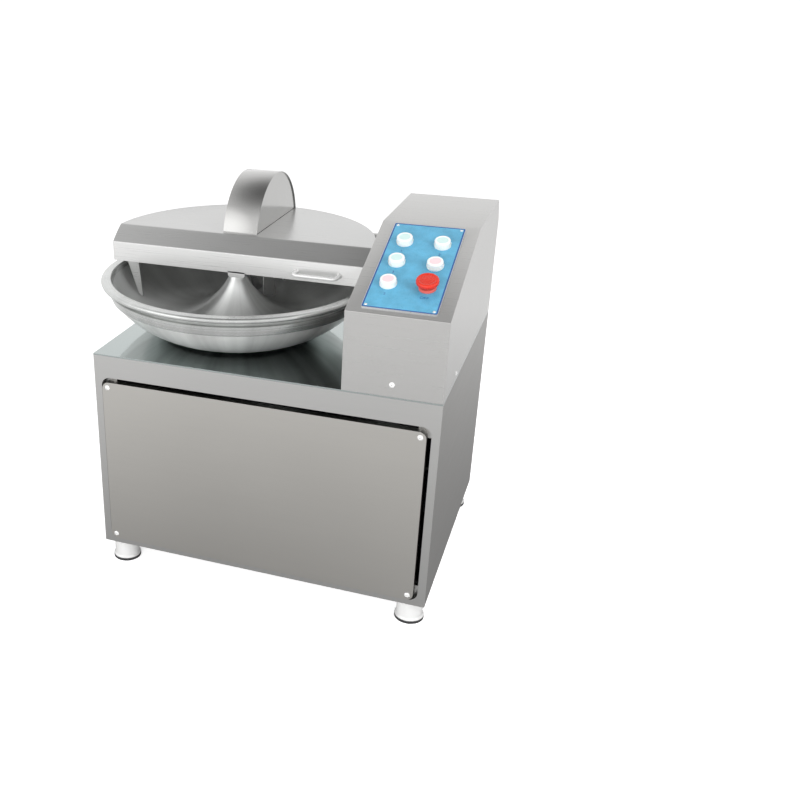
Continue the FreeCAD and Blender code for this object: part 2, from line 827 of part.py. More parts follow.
COLUMN_FRONT_SCREW = (-Y_AXIS, "0", "0", "column_screw_height")
COLUMN_SIDE_SCREWS = [
    (X_AXIS, "column_width / 2", y, "column_screw_height / 2")
    for y in ("0.225 * cabinet_depth", "cabinet_depth - column_rear_screw_inset")
]
COVER_SCREWS = [
    (x, z)
    for x in ("cover_screw_inset", "column_width - 2 * sheet - cover_screw_inset")
    for z in ("column_screw_height", "column_height - rear_chamfer_drop - column_screw_height")
]
BUTTON_PLACES = [
    ("-button_column", "button_first_row + 2 * button_pitch"),
    ("button_column", "button_first_row + 2 * button_pitch"),
    ("-button_column", "button_first_row + button_pitch"),
    ("button_column", "button_first_row + button_pitch"),
    ("-button_column", "button_first_row"),
]
STOP_PLACE = ("button_column", "button_first_row")


def make_control_plate():
    """Coloured control plate with a hole for each button and a screw at each corner."""
    plate = padded("ControlPlate", "XY_Plane", rounded_corners(
        "-plate_width / 2", "plate_start", "plate_width / 2", "plate_start + plate_length", "plate_corner",
    ), "plate_thickness")
    holes = [
        rod("button_barrel_radius + button_barrel_play", "3 * plate_thickness", x, y, "-plate_thickness")
        for x, y in BUTTON_PLACES + [STOP_PLACE]
    ]
    slope_node("control_plate", cut(plate, *holes), "0", "0")
    corners = [
        (Z_AXIS, x, y, "0")
        for x in ("plate_screw_inset - plate_width / 2", "plate_width / 2 - plate_screw_inset")
        for y in ("plate_start + plate_screw_inset", "plate_start + plate_length - plate_screw_inset")
    ]
    screws = screw_group(corners, "plate_screw_radius", "plate_screw_height", "0.5 * plate_screw_radius",
                         "plate_screw_lift")
    slope_node("control_plate_screws", screws, "0", "0", "plate_thickness + plate_screw_lift")


def crown_radius(half):
    """Radius of the shallow crown over a button that is this wide on each side."""
    return "((%s) ^ 2 + button_crown ^ 2) / (2 * button_crown)" % half


def make_buttons():
    """Five booted push buttons: fixed bodies in one node and a moving cap each."""
    bodies = []
    for across, along in BUTTON_PLACES:
        body = turned("ButtonBody", [
            ("button_stem_radius + button_stem_play", "-button_barrel_depth"),
            ("button_barrel_radius", "-button_barrel_depth"),
            ("button_barrel_radius", "0"),
            ("button_bezel_radius", "0"),
            ("button_bezel_radius", "button_bezel_height - button_bezel_edge"),
            ("button_bezel_radius - button_bezel_edge", "button_bezel_height"),
            ("button_cap_radius + button_rim_play", "button_bezel_height"),
            ("button_cap_radius + button_rim_play", "button_floor"),
            ("button_stem_radius + button_stem_play", "button_floor"),
        ])
        shift(body, across, along, "0")
        bodies.append(body)
    slope_node("push_button_bodies", group(bodies), "0", "0", "plate_thickness")
    for index, (across, along) in enumerate(BUTTON_PLACES, start=1):
        cap = turned("ButtonCap", [
            ("0", "button_cap_lift + button_travel - button_stem_length"),
            ("button_stem_radius", "button_cap_lift + button_travel - button_stem_length"),
            ("button_stem_radius", "button_cap_lift + button_travel"),
            ("button_cap_radius", "button_cap_lift + button_travel"),
            ("button_cap_radius", "button_cap_height - button_crown - button_cap_round", "button_cap_round",
             -1),
            ("button_cap_radius - button_cap_round", "button_cap_height - button_crown",
             crown_radius("button_cap_radius - button_cap_round"), -1),
            ("0", "button_cap_height"),
        ])
        slope_node("button_cap_%d" % index, cap, across, along, "plate_thickness")


def make_stop_button():
    """Emergency stop: fixed body, sliding stem and a mushroom head that twists to release."""
    body = turned("StopBody", [
        ("stop_stem_radius + button_stem_play", "-button_barrel_depth"),
        ("button_barrel_radius", "-button_barrel_depth"),
        ("button_barrel_radius", "0"),
        ("button_bezel_radius", "0"),
        ("button_bezel_radius", "stop_collar_height - stop_collar_edge"),
        ("button_bezel_radius - stop_collar_edge", "stop_collar_height"),
        ("stop_stem_radius + button_stem_play", "stop_collar_height"),
    ])
    slope_node("stop_button_body", body, *STOP_PLACE, "plate_thickness")
    stem = turned("StopStem", [
        ("0", "-stop_stem_depth"),
        ("stop_stem_radius", "-stop_stem_depth"),
        ("stop_stem_radius", "stop_head_base - stop_seat_gap"),
        ("stop_neck_radius", "stop_head_base - stop_seat_gap"),
        ("stop_neck_radius", "stop_head_base + stop_neck_length"),
        ("0", "stop_head_base + stop_neck_length"),
    ])
    slope_node("stop_button_stem", stem, *STOP_PLACE, "plate_thickness")
    head = turned("StopHead", [
        ("stop_neck_radius + running_gap", "stop_head_base"),
        ("stop_head_radius - stop_head_chamfer", "stop_head_base"),
        ("stop_head_radius", "stop_head_base + stop_head_chamfer"),
        ("stop_head_radius", "stop_head_top - button_crown - stop_head_round", "stop_head_round", -1),
        ("stop_head_radius - stop_head_round", "stop_head_top - button_crown",
         crown_radius("stop_head_radius - stop_head_round"), -1),
        ("0", "stop_head_top"),
        ("0", "stop_head_base + stop_neck_length + stop_neck_play"),
        ("stop_neck_radius + running_gap", "stop_head_base + stop_neck_length + stop_neck_play"),
    ])
    slope_node("stop_button_head", head, *STOP_PLACE, "plate_thickness")


# Bowl and its drive
def trough_outer(height, radius="trough_radius"):
    """Radius from the bowl's axis of the trough's outer wall at a height above the deck."""
    return "trough_reach + sqrt((%s) ^ 2 - (trough_height - (%s)) ^ 2)" % (radius, height)


def trough_inner(height, radius="trough_radius"):
    """Radius from the bowl's axis of the cone's flank at a height above the deck."""
    return "trough_reach - sqrt((%s) ^ 2 - (trough_height - (%s)) ^ 2)" % (radius, height)


def dish_under(radius_text):
    """Height above the deck of the dish's underside at a radius from the bowl's axis."""
    return "trough_height - sqrt(dish_radius ^ 2 - (trough_reach - (%s)) ^ 2)" % radius_text


def make_bowl():
    """Turned dish with a central cone, and the outer skirt with its base ring."""
    edge = "rim_height - rim_inner_drop"
    neck = "cone_top_height - cone_edge"
    under = "band_top_height - skirt_lap"
    trough_bottom = "trough_height - trough_radius"
    under_bottom = "trough_height - dish_radius"
    dish = turned("Bowl", [
        ("spindle_radius + running_gap", "hub_bottom"),
        ("hub_radius", "hub_bottom"),
        ("hub_radius", dish_under("hub_radius"), "dish_radius", -1),
        ("trough_reach", under_bottom, "dish_radius", -1),
        (trough_outer(under, "dish_radius"), under),
        ("rim_radius - rim_bead", "rim_height - rim_bead"),
        ("rim_radius - rim_bead / 2", "rim_height - rim_bead"),
        ("rim_radius", "rim_height - rim_bead / 2", "rim_bead / 2", -1),
        ("rim_radius - rim_bead / 2", "rim_height"),
        ("rim_inner_radius", "rim_height"),
        (trough_outer(edge), edge, "trough_radius", 1),
        ("trough_reach", trough_bottom, "trough_radius", 1),
        (trough_inner(neck), neck),
        ("%s - cone_edge_side" % trough_inner(neck), "cone_top_height - cone_edge_drop"),
        ("%s - cone_edge" % trough_inner(neck), "cone_top_height"),
        ("0", "cone_top_height"),
        ("0", "cone_top_height - spindle_blind"),
        ("spindle_radius + running_gap", "cone_top_height - spindle_blind"),
    ])
    node("bowl", dish, "-bowl_offset", "bowl_setback", "deck_top")
    lip = "band_top_height - skirt_edge"
    skirt = turned("BowlSkirt", [
        ("base_ring_inner", "base_ring_height"),
        ("base_ring_radius", "base_ring_height", "skirt_curve", -1),
        ("skirt_top_radius", "band_bottom_height - skirt_wall / 2"),
        ("band_bottom_radius", "band_bottom_height"),
        ("band_top_radius", "band_top_height"),
        ("band_top_radius - skirt_edge", "band_top_height"),
        ("%s + running_gap" % trough_outer(lip, "dish_radius"), lip),
        ("skirt_top_radius - skirt_wall - skirt_lap", "band_bottom_height - skirt_wall / 2",
         "skirt_curve - skirt_wall", 1),
        ("base_ring_radius - skirt_edge", "base_ring_height + skirt_wall"),
        ("base_ring_inner", "base_ring_height + skirt_wall"),
    ])
    node("bowl_skirt", skirt, "-bowl_offset", "bowl_setback", "deck_top")
    spindle = turned("Spindle", [
        ("0", "gearbox_top - deck_top - spindle_tail_length"),
        ("spindle_tail_radius", "gearbox_top - deck_top - spindle_tail_length"),
        ("spindle_tail_radius", "gearbox_top - deck_top + gearbox_drop"),
        ("spindle_radius", "gearbox_top - deck_top + gearbox_drop"),
        ("spindle_radius", "bowl_housing_top + spindle_end_gap"),
        ("hub_radius - bowl_hub_gap", "bowl_housing_top + spindle_end_gap"),
        ("hub_radius - bowl_hub_gap", "hub_bottom"),
        ("spindle_radius", "hub_bottom"),
        ("spindle_radius", "cone_top_height - spindle_blind - spindle_end_gap"),
        ("0", "cone_top_height - spindle_blind - spindle_end_gap"),
    ])
    node("bowl_spindle", spindle, "-bowl_offset", "bowl_setback", "deck_top")


def make_bowl_drive():
    """Bearing housing in the deck, its two bearings, and the worm gearmotor that hangs from it."""
    seat = "bowl_bearing_radius + running_gap"
    bottom = "-deck_thickness - bowl_housing_drop"
    upper_floor = "bowl_housing_top - 1 - bowl_bearing_width"
    lower_roof = "-deck_thickness - bowl_housing_drop + bowl_housing_floor + bowl_bearing_width"
    housing = turned("BowlHousing", [
        ("spindle_radius + 2", "(%s) + bowl_housing_floor" % bottom),
        ("spindle_radius + 2", bottom),
        ("bowl_housing_radius", bottom),
        ("bowl_housing_radius", "0"),
        ("bowl_housing_flange", "0"),
        ("bowl_housing_flange", "bowl_flange_thickness"),
        ("bowl_housing_radius", "bowl_flange_thickness + bowl_flange_fillet"),
        ("bowl_housing_radius", "bowl_housing_top"),
        (seat, "bowl_housing_top"),
        (seat, upper_floor),
        ("spindle_radius + bearing_shoulder", upper_floor),
        ("spindle_radius + bearing_shoulder", lower_roof),
        (seat, lower_roof),
        (seat, "(%s) + bowl_housing_floor" % bottom),
    ])
    node("bowl_bearing_housing", housing, "-bowl_offset", "bowl_setback", "deck_top")
    bearings = []
    for floor in (upper_floor, "(%s) + bowl_housing_floor" % bottom):
        bearing = ring("BowlBearing", "spindle_radius + running_gap", "bowl_bearing_radius",
                       "bowl_bearing_width")
        shift(bearing, "0", "0", floor)
        bearings.append(bearing)
    node("bowl_bearings", group(bearings), "-bowl_offset", "bowl_setback", "deck_top")

    side = "gearbox_width / 2"
    outline = rounded_corners("-" + side, "-" + side, side, side, "gearbox_corner")
    case = padded("Gearbox", "XY_Plane", outline, "gearbox_height")
    bore = rod("spindle_tail_radius + running_gap", "spindle_tail_length + 2", "0", "0",
               "gearbox_height - spindle_tail_length - 1")
    node("bowl_gearbox", cut(case, bore), "-bowl_offset", "bowl_setback", "gearbox_top - gearbox_height")
    motor = turned("BowlMotor", [
        ("0", "0"),
        ("bowl_motor_radius", "0"),
        ("bowl_motor_radius", "bowl_motor_flange"),
        ("bowl_motor_radius - bowl_motor_fin", "bowl_motor_flange + bowl_motor_fin / 2"),
        ("bowl_motor_radius - bowl_motor_fin", "bowl_motor_length - bowl_motor_fan"),
        ("bowl_motor_radius", "bowl_motor_length - bowl_motor_fan + bowl_motor_fin / 3"),
        ("bowl_motor_radius", "bowl_motor_length - bowl_motor_fin"),
        ("bowl_motor_radius - bowl_motor_fin", "bowl_motor_length"),
        ("0", "bowl_motor_length"),
    ])
    lie_along_x(motor)
    node("bowl_motor", motor, "gearbox_width / 2 - bowl_offset", "bowl_setback",
         "gearbox_top - gearbox_height / 2 - gearbox_drop")


# Knife shaft, knives and their drive
def make_knife_drive():
    """Shaft with its bearing housing and nose, three curved knives, pulleys, belt and motor."""
    start = "-bowl_offset - knife_stack - knife_nut_width - shaft_end"
    collar = "knife_stack - bowl_offset"
    shaft = fuse(
        rod("shaft_radius", "pulley_x + pulley_width / 2 + shaft_tail - (%s)" % start, start, axis=X_AXIS),
        rod("shaft_collar_radius", "shaft_collar_width", collar, axis=X_AXIS),
    )
    node("knife_shaft", shaft, "0", "shaft_y", "shaft_z")
    nut = doc.addObject("Part::Prism", "Hexagon")
    bind(nut, Circumradius="knife_nut_radius", Height="knife_nut_width")
    nut.Polygon = 6
    lie_along_x(nut)
    shift(nut, "-bowl_offset - knife_stack - knife_nut_width", "0", "0")
    nut_bore = rod("shaft_radius + running_gap", "knife_nut_width + 2 * shaft_end",
                   "-bowl_offset - knife_stack - knife_nut_width - shaft_end", axis=X_AXIS)
    node("knife_nut", cut(nut, nut_bore), "0", "shaft_y", "shaft_z")
    spacers = []
    for index in (1, 2):
        spacer = ring("Spacer", "shaft_radius + running_gap", "knife_hub_radius - spacer_step",
                      "knife_pitch - knife_thickness")
        lie_along_x(spacer)
        shift(spacer, "-bowl_offset + (%d - 2) * knife_pitch + knife_thickness / 2" % index, "0", "0")
        spacers.append(spacer)
    node("knife_spacers", group(spacers), "0", "shaft_y", "shaft_z")
    for index in (1, 2, 3):
        make_knife(index)

    barrel = fuse(
        rod("nose_radius", "barrel_start - nose_start", "nose_start", axis=X_AXIS),
        rod("bearing_barrel_radius", "bearing_barrel_length", "barrel_start", axis=X_AXIS),
        rod("nose_flange_radius", "nose_flange_width", "column_left - nose_flange_width", axis=X_AXIS),
    )
    bore = rod("nose_bore", "barrel_end - nose_start + 2 * reach_past", "nose_start - reach_past",
               axis=X_AXIS)
    seal_seat = rod("seal_radius", "seal_width + reach_past", "nose_start - reach_past", axis=X_AXIS)
    seat_start = "barrel_start + bearing_seat_wall"
    seat = rod("shaft_bearing_radius + running_gap", "barrel_end - (%s) + reach_past" % seat_start,
               seat_start, axis=X_AXIS)
    node("shaft_bearing_housing", cut(barrel, bore, seal_seat, seat), "0", "shaft_y", "shaft_z")
    bearings = []
    for x in (seat_start, "barrel_end - shaft_bearing_width - bearing_end_gap"):
        bearing = ring("ShaftBearing", "shaft_radius + running_gap", "shaft_bearing_radius",
                       "shaft_bearing_width")
        lie_along_x(bearing)
        shift(bearing, x, "0", "0")
        bearings.append(bearing)
    node("shaft_bearings", group(bearings), "0", "shaft_y", "shaft_z")
    seal = ring("ShaftSeal", "shaft_radius + running_gap", "seal_radius - running_gap", "seal_width")
    node("shaft_seal", lie_along_x(seal), "nose_start", "shaft_y", "shaft_z")
    make_pedestal()


def make_knife(index):
    """Sickle-shaped knife: a hub ring and a blade between two circles, bevelled along its outer edge."""
    reach = "knife_radius / 2"
    blade = cut(
        cone(reach, "%s - knife_bevel" % reach, "knife_thickness", "0", reach, "0"),
        rod("%s + knife_hollow" % reach, "3 * knife_thickness", "-knife_blade_width",
            "%s - knife_hollow_shift" % reach, "-knife_thickness"),
    )
    hub = rod("knife_hub_radius", "knife_thickness")
    bore = rod("shaft_radius + running_gap", "3 * knife_thickness", "0", "0", "-knife_thickness")
    knife = cut(fuse(hub, blade), bore)
    stand = FreeCAD.Rotation(Y_AXIS, 90)
    about_shaft = FreeCAD.Rotation(X_AXIS, 120 * index + 30)
    knife.Placement = FreeCAD.Placement(V(0, 0, 0), about_shaft.multiply(stand))
    node("knife_%d" % index, knife,
         "-bowl_offset + (%d - 2) * knife_pitch - knife_thickness / 2" % index, "shaft_y", "shaft_z")


def make_pedestal():
    """Welded pedestal that carries the bearing housing on the deck inside the column."""
    block = padded("Pedestal", "YZ_Plane", [
        ("-pedestal_foot / 2", "0"),
        ("pedestal_foot / 2", "0"),
        ("bearing_barrel_radius + pedestal_cheek", "trough_height"),
        ("-bearing_barrel_radius - pedestal_cheek", "trough_height"),
    ], "bearing_barrel_length - 2 * pedestal_inset")
    saddle = rod("bearing_barrel_radius + running_gap", "bearing_barrel_length + 2 * reach_past",
                 "-reach_past", "0", "trough_height", X_AXIS)
    window = box("bearing_barrel_length", "pedestal_window",
                 "trough_height - bearing_barrel_radius - pedestal_floor - pedestal_roof",
                 "-reach_past", "-pedestal_window / 2", "pedestal_floor")
    node("bearing_pedestal", cut(block, saddle, window), "barrel_start + pedestal_inset", "shaft_y",
         "deck_top")


def pulley(name, radius, bore):
    """Grooved belt pulley, made about +Z with its middle at z = 0."""
    half = "pulley_width / 2"
    groove = "belt_width / 2 + belt_side_gap"
    return turned(name, [
        ("(%s) + running_gap" % bore, "-(%s)" % half),
        ("(%s) + belt_thickness - belt_proud" % radius, "-(%s)" % half),
        ("(%s) + belt_thickness - belt_proud" % radius, "-(%s)" % groove),
        (radius, "-(%s)" % groove),
        (radius, groove),
        ("(%s) + belt_thickness - belt_proud" % radius, groove),
        ("(%s) + belt_thickness - belt_proud" % radius, half),
        ("(%s) + running_gap" % bore, half),
    ])


def belt_loop(offset):
    """Corners of a loop around both pulleys at a distance from their groove floors."""
    low = "(motor_pulley_radius + %s)" % offset
    high = "(knife_pulley_radius + %s)" % offset
    across_low = "%s * cos(belt_lean)" % low
    across_high = "%s * cos(belt_lean)" % high
    up_low = "%s * sin(belt_lean)" % low
    up_high = "pulley_distance + %s * sin(belt_lean)" % high
    return [
        (across_low, up_low),
        (across_high, up_high, high, -1),
        ("0", "pulley_distance + %s" % high, high, -1),
        ("-" + across_high, up_high),
        ("-" + across_low, up_low, low, -1),
        ("0", "-" + low, low, -1),
    ]


def make_motor_drive():
    """Main motor on the tray, its shaft, both pulleys and the belt between them."""
    frame_start = "motor_face - motor_length"
    body = turned("MainMotor", [
        ("0", "0"),
        ("motor_radius - motor_cowl", "0"),
        ("motor_radius - motor_fin", "motor_cowl_edge"),
        ("motor_radius - motor_fin", "motor_fan_length"),
        ("motor_radius", "motor_fan_length"),
        ("motor_radius", "motor_length - motor_end"),
        ("motor_radius - motor_end_step", "motor_length"),
        ("0", "motor_length"),
    ])
    lie_along_x(body)
    feet = [
        box("motor_foot_length", "motor_foot_width", "motor_axis_height - motor_radius + motor_foot_rise", x,
            "-motor_foot_width / 2", "-motor_axis_height")
        for x in ("motor_length - motor_foot_back", "motor_foot_front")
    ]
    terminal = box("terminal_length", "terminal_width", "motor_radius + terminal_rise",
                   "motor_length / 2 - terminal_width / 2", "-terminal_width / 2", "0")
    bore = rod("motor_shaft_radius + running_gap", "motor_shaft_depth + reach_past",
               "motor_length - motor_shaft_depth", axis=X_AXIS)
    node("main_motor", cut(fuse(body, *feet, terminal), bore), frame_start, "shaft_y", "motor_z")
    shaft_start = "motor_face - motor_shaft_depth + motor_shaft_gap"
    shaft = rod("motor_shaft_radius", "pulley_x + pulley_width / 2 - (%s)" % shaft_start, axis=X_AXIS)
    node("motor_shaft", shaft, shaft_start, "shaft_y", "motor_z")
    node("motor_pulley", lie_along_x(pulley("MotorPulley", "motor_pulley_radius", "motor_shaft_radius")),
         "pulley_x", "shaft_y", "motor_z")
    node("knife_pulley", lie_along_x(pulley("KnifePulley", "knife_pulley_radius", "shaft_radius")),
         "pulley_x", "shaft_y", "shaft_z")
    belt = padded("Belt", "YZ_Plane", belt_loop("belt_gap + belt_thickness"), "belt_width", midplane=True)
    add_pocket(belt, "YZ_Plane", belt_loop("belt_gap"), "2 * belt_width", midplane=True)
    node("drive_belt", belt, "pulley_x", "shaft_y", "motor_z")


# Lid, arch, handle and hinge
def lid_profile(gap):
    """Side outline of the lid from the front flange to behind the disc, in from the skin by gap."""
    bevel = "atan(lid_bevel_drop / (lid_front_ahead + lid_crease_ahead))"
    front = "-lid_front_ahead + (%s)" % gap
    low = "lid_bottom - (%s) / lid_sheet * reach_past" % gap
    return [
        (front, low),
        ("lid_radius + reach_past", low),
        ("lid_radius + reach_past", "lid_height - (%s)" % gap),
        ("-lid_crease_ahead + (%s) * tan((%s) / 2)" % (gap, bevel), "lid_height - (%s)" % gap),
        (front, "lid_height - lid_bevel_drop - (%s) * tan((90 deg - %s) / 2)" % (gap, bevel)),
    ]


def lid_block(gap):
    """Solid under the lid's skin, or its hollow: the side outline inside the disc's circle."""
    block = padded("LidBlock", "YZ_Plane", lid_profile(gap), "2 * lid_radius + 2 * reach_past", midplane=True)
    disc = rod("lid_radius - (%s)" % gap, "lid_height + reach_past", "lid_shift")
    return common(block, disc)


def notch_sweep(length, x):
    """Space that the nose sweeps through the lid's pieces as the lid swings up about its hinge."""
    outer = rod("notch_middle + notch_half", length, x, axis=X_AXIS)
    inner = rod("notch_middle - notch_half", "(%s) + 2 * reach_past" % length, "(%s) - reach_past" % x,
                axis=X_AXIS)
    sweep = cut(outer, inner)
    drop = "2 * lid_height"
    keep = box("(%s) + 2 * reach_past" % length, "hinge_reach + 2 * notch_half", drop,
               "(%s) - reach_past" % x, "-hinge_reach - 2 * notch_half", "hinge_rise - " + drop)
    lower = common(sweep, keep)
    top = rod("notch_half", length, x, "-hinge_reach", "hinge_rise", X_AXIS)
    whole = fuse(lower, top)
    shift(whole, "0", "hinge_y - bowl_setback", "hinge_height")
    return whole


def make_lid():
    """Half-disc lid: flat top, front bevel and flange, curved skirt, and a slot under the arch."""
    slot_half = "sqrt(arch_inner ^ 2 - arch_base ^ 2)"
    slot = box("arch_width - 2 * lid_sheet", "2 * (%s)" % slot_half, "2 * reach_past",
               "lid_sheet - arch_width / 2", "trough_reach - (%s)" % slot_half, "lid_height - reach_past")
    notch = notch_sweep("lid_radius", "arch_width / 2 + reach_past")
    shell = cut(lid_block("0"), lid_block("lid_sheet"), slot, notch)
    tab = padded("LidTab", "XZ_Plane", [
        ("-lid_tab_width / 2", "lid_tab_overlap"),
        ("-lid_tab_width / 2", "0"),
        ("lid_tab_chamfer - lid_tab_width / 2", "-lid_tab_drop"),
        ("lid_tab_width / 2 - lid_tab_chamfer", "-lid_tab_drop"),
        ("lid_tab_width / 2", "0"),
        ("lid_tab_width / 2", "lid_tab_overlap"),
    ], "lid_sheet", backwards=True)
    shift(tab, "lid_tab_offset", "-lid_front_ahead", "lid_bottom")
    node("lid", fuse(shell, tab), "-bowl_offset", "bowl_setback", "deck_top")


def make_arch():
    """Knife arch: a bent band with a flat cheek set in from each edge."""
    band = cut(
        rod("arch_radius", "arch_width", "-arch_width / 2", axis=X_AXIS),
        rod("arch_inner", "arch_width + 2 * reach_past", "-arch_width / 2 - reach_past", axis=X_AXIS),
    )
    cheeks = [
        rod("arch_radius - lid_sheet / 2", "lid_sheet", x, axis=X_AXIS)
        for x in ("arch_lip - arch_width / 2", "arch_width / 2 - arch_lip - lid_sheet")
    ]
    keep = box("arch_width + 2 * reach_past", "3 * arch_radius", "arch_radius",
               "-arch_width / 2 - reach_past", "-1.5 * arch_radius", "arch_base")
    node("knife_arch", common(fuse(band, *cheeks), keep), "-bowl_offset", "shaft_y", "shaft_z")


def make_handle():
    """Bent-rod handle on the lid's front flange."""
    straight = "handle_standoff - handle_bend"
    pieces = [
        rod("handle_rod_radius", straight, x, "0", "0", -Y_AXIS) for x in ("0", "handle_span")
    ]
    pieces.append(rod("handle_rod_radius", "handle_span - 2 * handle_bend", "handle_bend",
                      "-handle_standoff", "0", X_AXIS))
    for x, angle in (("handle_bend", 180), ("handle_span - handle_bend", 270)):
        elbow = doc.addObject("Part::Torus", "Elbow")
        bind(elbow, Radius1="handle_bend", Radius2="handle_rod_radius")
        elbow.Angle3 = 90
        turn(elbow, Z_AXIS, angle)
        shift(elbow, x, "-(%s)" % straight, "0")
        pieces.append(elbow)
    node("lid_handle", fuse(*pieces), "-bowl_offset + handle_offset - handle_span / 2",
         "bowl_setback - lid_front_ahead", "deck_top + handle_height")


def bowl_hollow():
    """Space inside the bowl, in from its surface by the clearance, about the bowl's axis."""
    radius = "(trough_radius - bowl_clearance)"
    neck = "cone_top_height + bowl_clearance"
    top = "lid_height + reach_past"
    return turned("BowlHollow", [
        ("0", neck),
        (trough_inner(neck, radius), neck, radius, -1),
        ("trough_reach", "trough_height - " + radius, radius, -1),
        ("trough_reach + " + radius, "trough_height"),
        ("trough_reach + " + radius, top),
        ("0", top),
    ])


def make_lid_plates():
    """Plates under the lid that follow the bowl: the knife chamber's side plate and the scraper."""
    plate = box("chamber_plate_thickness", "2 * knife_radius + trough_reach - chamber_plate_front",
                "trough_height", "arch_width / 2", "chamber_plate_front",
                "lid_height - lid_sheet - trough_height")
    disc = rod("lid_radius - lid_sheet", "lid_height + reach_past", "lid_shift")
    notch = notch_sweep("2 * reach_past", "arch_width / 2 - reach_past")
    node("chamber_plate", cut(common(plate, disc, bowl_hollow()), notch), "-bowl_offset", "bowl_setback",
         "deck_top")

    blade = padded("Scraper", "XZ_Plane", [
        ("-scraper_out", "lid_bottom + scraper_overlap"),
        ("-scraper_tip", "scraper_low"),
        ("scraper_tip_width - scraper_tip", "scraper_low"),
        ("-scraper_in", "lid_bottom + scraper_overlap"),
    ], "scraper_thickness", backwards=True)
    shift(blade, "0", "lid_sheet - lid_front_ahead", "0")
    node("scraper", common(blade, bowl_hollow()), "-bowl_offset", "bowl_setback", "deck_top")


def make_hinge():
    """Two arms on the lid's skirt, one long pin and two brackets screwed to the deck."""
    arms = []
    for side in (-1, 1):
        start = "%d * hinge_arm_span - hinge_arm_width / 2" % side
        reach = "hinge_y - bowl_setback"
        blank = fuse(
            rod("hinge_knuckle_radius", "hinge_arm_width", start, reach, "hinge_height", X_AXIS),
            box("hinge_arm_width", "hinge_arm_length", "hinge_knuckle_radius + hinge_arm_rise", start,
                "(%s) - hinge_arm_length" % reach,
                "hinge_height - hinge_knuckle_radius / 4"),
        )
        skirt = rod("lid_radius", "lid_height + reach_past", "lid_shift")
        bore = rod("hinge_pin_radius + running_gap", "hinge_arm_width + 2 * reach_past",
                   "(%s) - reach_past" % start, reach, "hinge_height", X_AXIS)
        arms.append(cut(blank, skirt, bore))
    node("lid_hinge_arms", group(arms), "-bowl_offset", "bowl_setback", "deck_top")

    inner_face = "hinge_arm_span + hinge_arm_width / 2 + hinge_side_gap"
    pin_half = "%s + hinge_bracket_thickness + hinge_pin_end" % inner_face
    pin = rod("hinge_pin_radius", "2 * (%s)" % pin_half, axis=X_AXIS)
    node("hinge_pin", pin, "-bowl_offset - (%s)" % pin_half, "hinge_y", "hinge_z")
    for side, label in ((-1, "hinge_bracket_left"), (1, "hinge_bracket_right")):
        bracket_x = inner_face if side > 0 else "-(%s) - hinge_bracket_thickness" % inner_face
        foot_x = bracket_x if side > 0 else "(%s) + hinge_bracket_thickness - hinge_bracket_foot" % bracket_x
        upright = box("hinge_bracket_thickness", "hinge_bracket_depth", "hinge_height", bracket_x,
                      "-hinge_bracket_depth / 2", "0")
        eye = rod("hinge_bracket_depth / 2", "hinge_bracket_thickness", bracket_x, "0", "hinge_height",
                  X_AXIS)
        foot = box("hinge_bracket_foot", "hinge_bracket_depth", "hinge_bracket_thickness", foot_x,
                   "-hinge_bracket_depth / 2", "0")
        bore = rod("hinge_pin_radius + running_gap", "hinge_bracket_thickness + 2 * reach_past",
                   "(%s) - reach_past" % bracket_x, "0", "hinge_height", X_AXIS)
        node(label, cut(fuse(upright, eye, foot), bore), "-bowl_offset", "hinge_y", "deck_top")


# Electrical pieces
def make_electrics():
    """Control box on the back wall of the cabinet and the cord gland in the back panel."""
    case = padded("ElectricalBox", "XY_Plane", rounded_corners(
        "-electrical_box_width / 2", "-electrical_box_depth", "electrical_box_width / 2", "0",
        "electrical_box_corner",
    ), "electrical_box_height")
    node("electrical_box", case, "-half_width * 0.3", "cabinet_depth - sheet", "foot_height + tray_thickness")
    gland = cut(
        fuse(
            rod("gland_radius", "gland_reach * 0.45"),
            cone("gland_radius * 0.9", "gland_radius * 0.6", "gland_reach"),
            rod("gland_radius * 0.7", "sheet + reach_past", "0", "0", "-sheet - reach_past"),
        ),
        rod("gland_bore", "4 * gland_reach", "0", "0", "-2 * gland_reach"),
    )
    gland.Placement = FreeCAD.Placement(V(0, 0, 0), FreeCAD.Rotation(Z_AXIS, Y_AXIS))
    node("cord_gland", gland, "gland_x", "cabinet_depth", "foot_height + gland_height")


def check_and_write():
    """Recompute, look for failed objects and write one STEP file for each sub-part."""
    doc.recompute()
    failed = [item.Label for item in doc.Objects if "Invalid" in item.State or "Error" in item.State]
    for item in NODES:
        if item.Shape.isNull() or not item.Shape.isValid():
            failed.append(item.Label)
    if failed:
        raise RuntimeError("These objects did not build: " + ", ".join(failed))
    for item in NODES:
        item.Shape.exportStep("parts/%s.step" % item.Label)
    print("%d sub-parts written" % len(NODES))


make_tray()
make_feet()
make_cabinet()
make_front_panel()
make_column()
make_control_plate()
make_buttons()
make_stop_button()
make_bowl()
make_bowl_drive()
make_knife_drive()
make_motor_drive()
make_lid()
make_arch()
make_handle()
make_lid_plates()
make_hinge()
make_electrics()
check_and_write()
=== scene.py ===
import bmesh
import bpy
import json
import math
from mathutils import Matrix, Vector


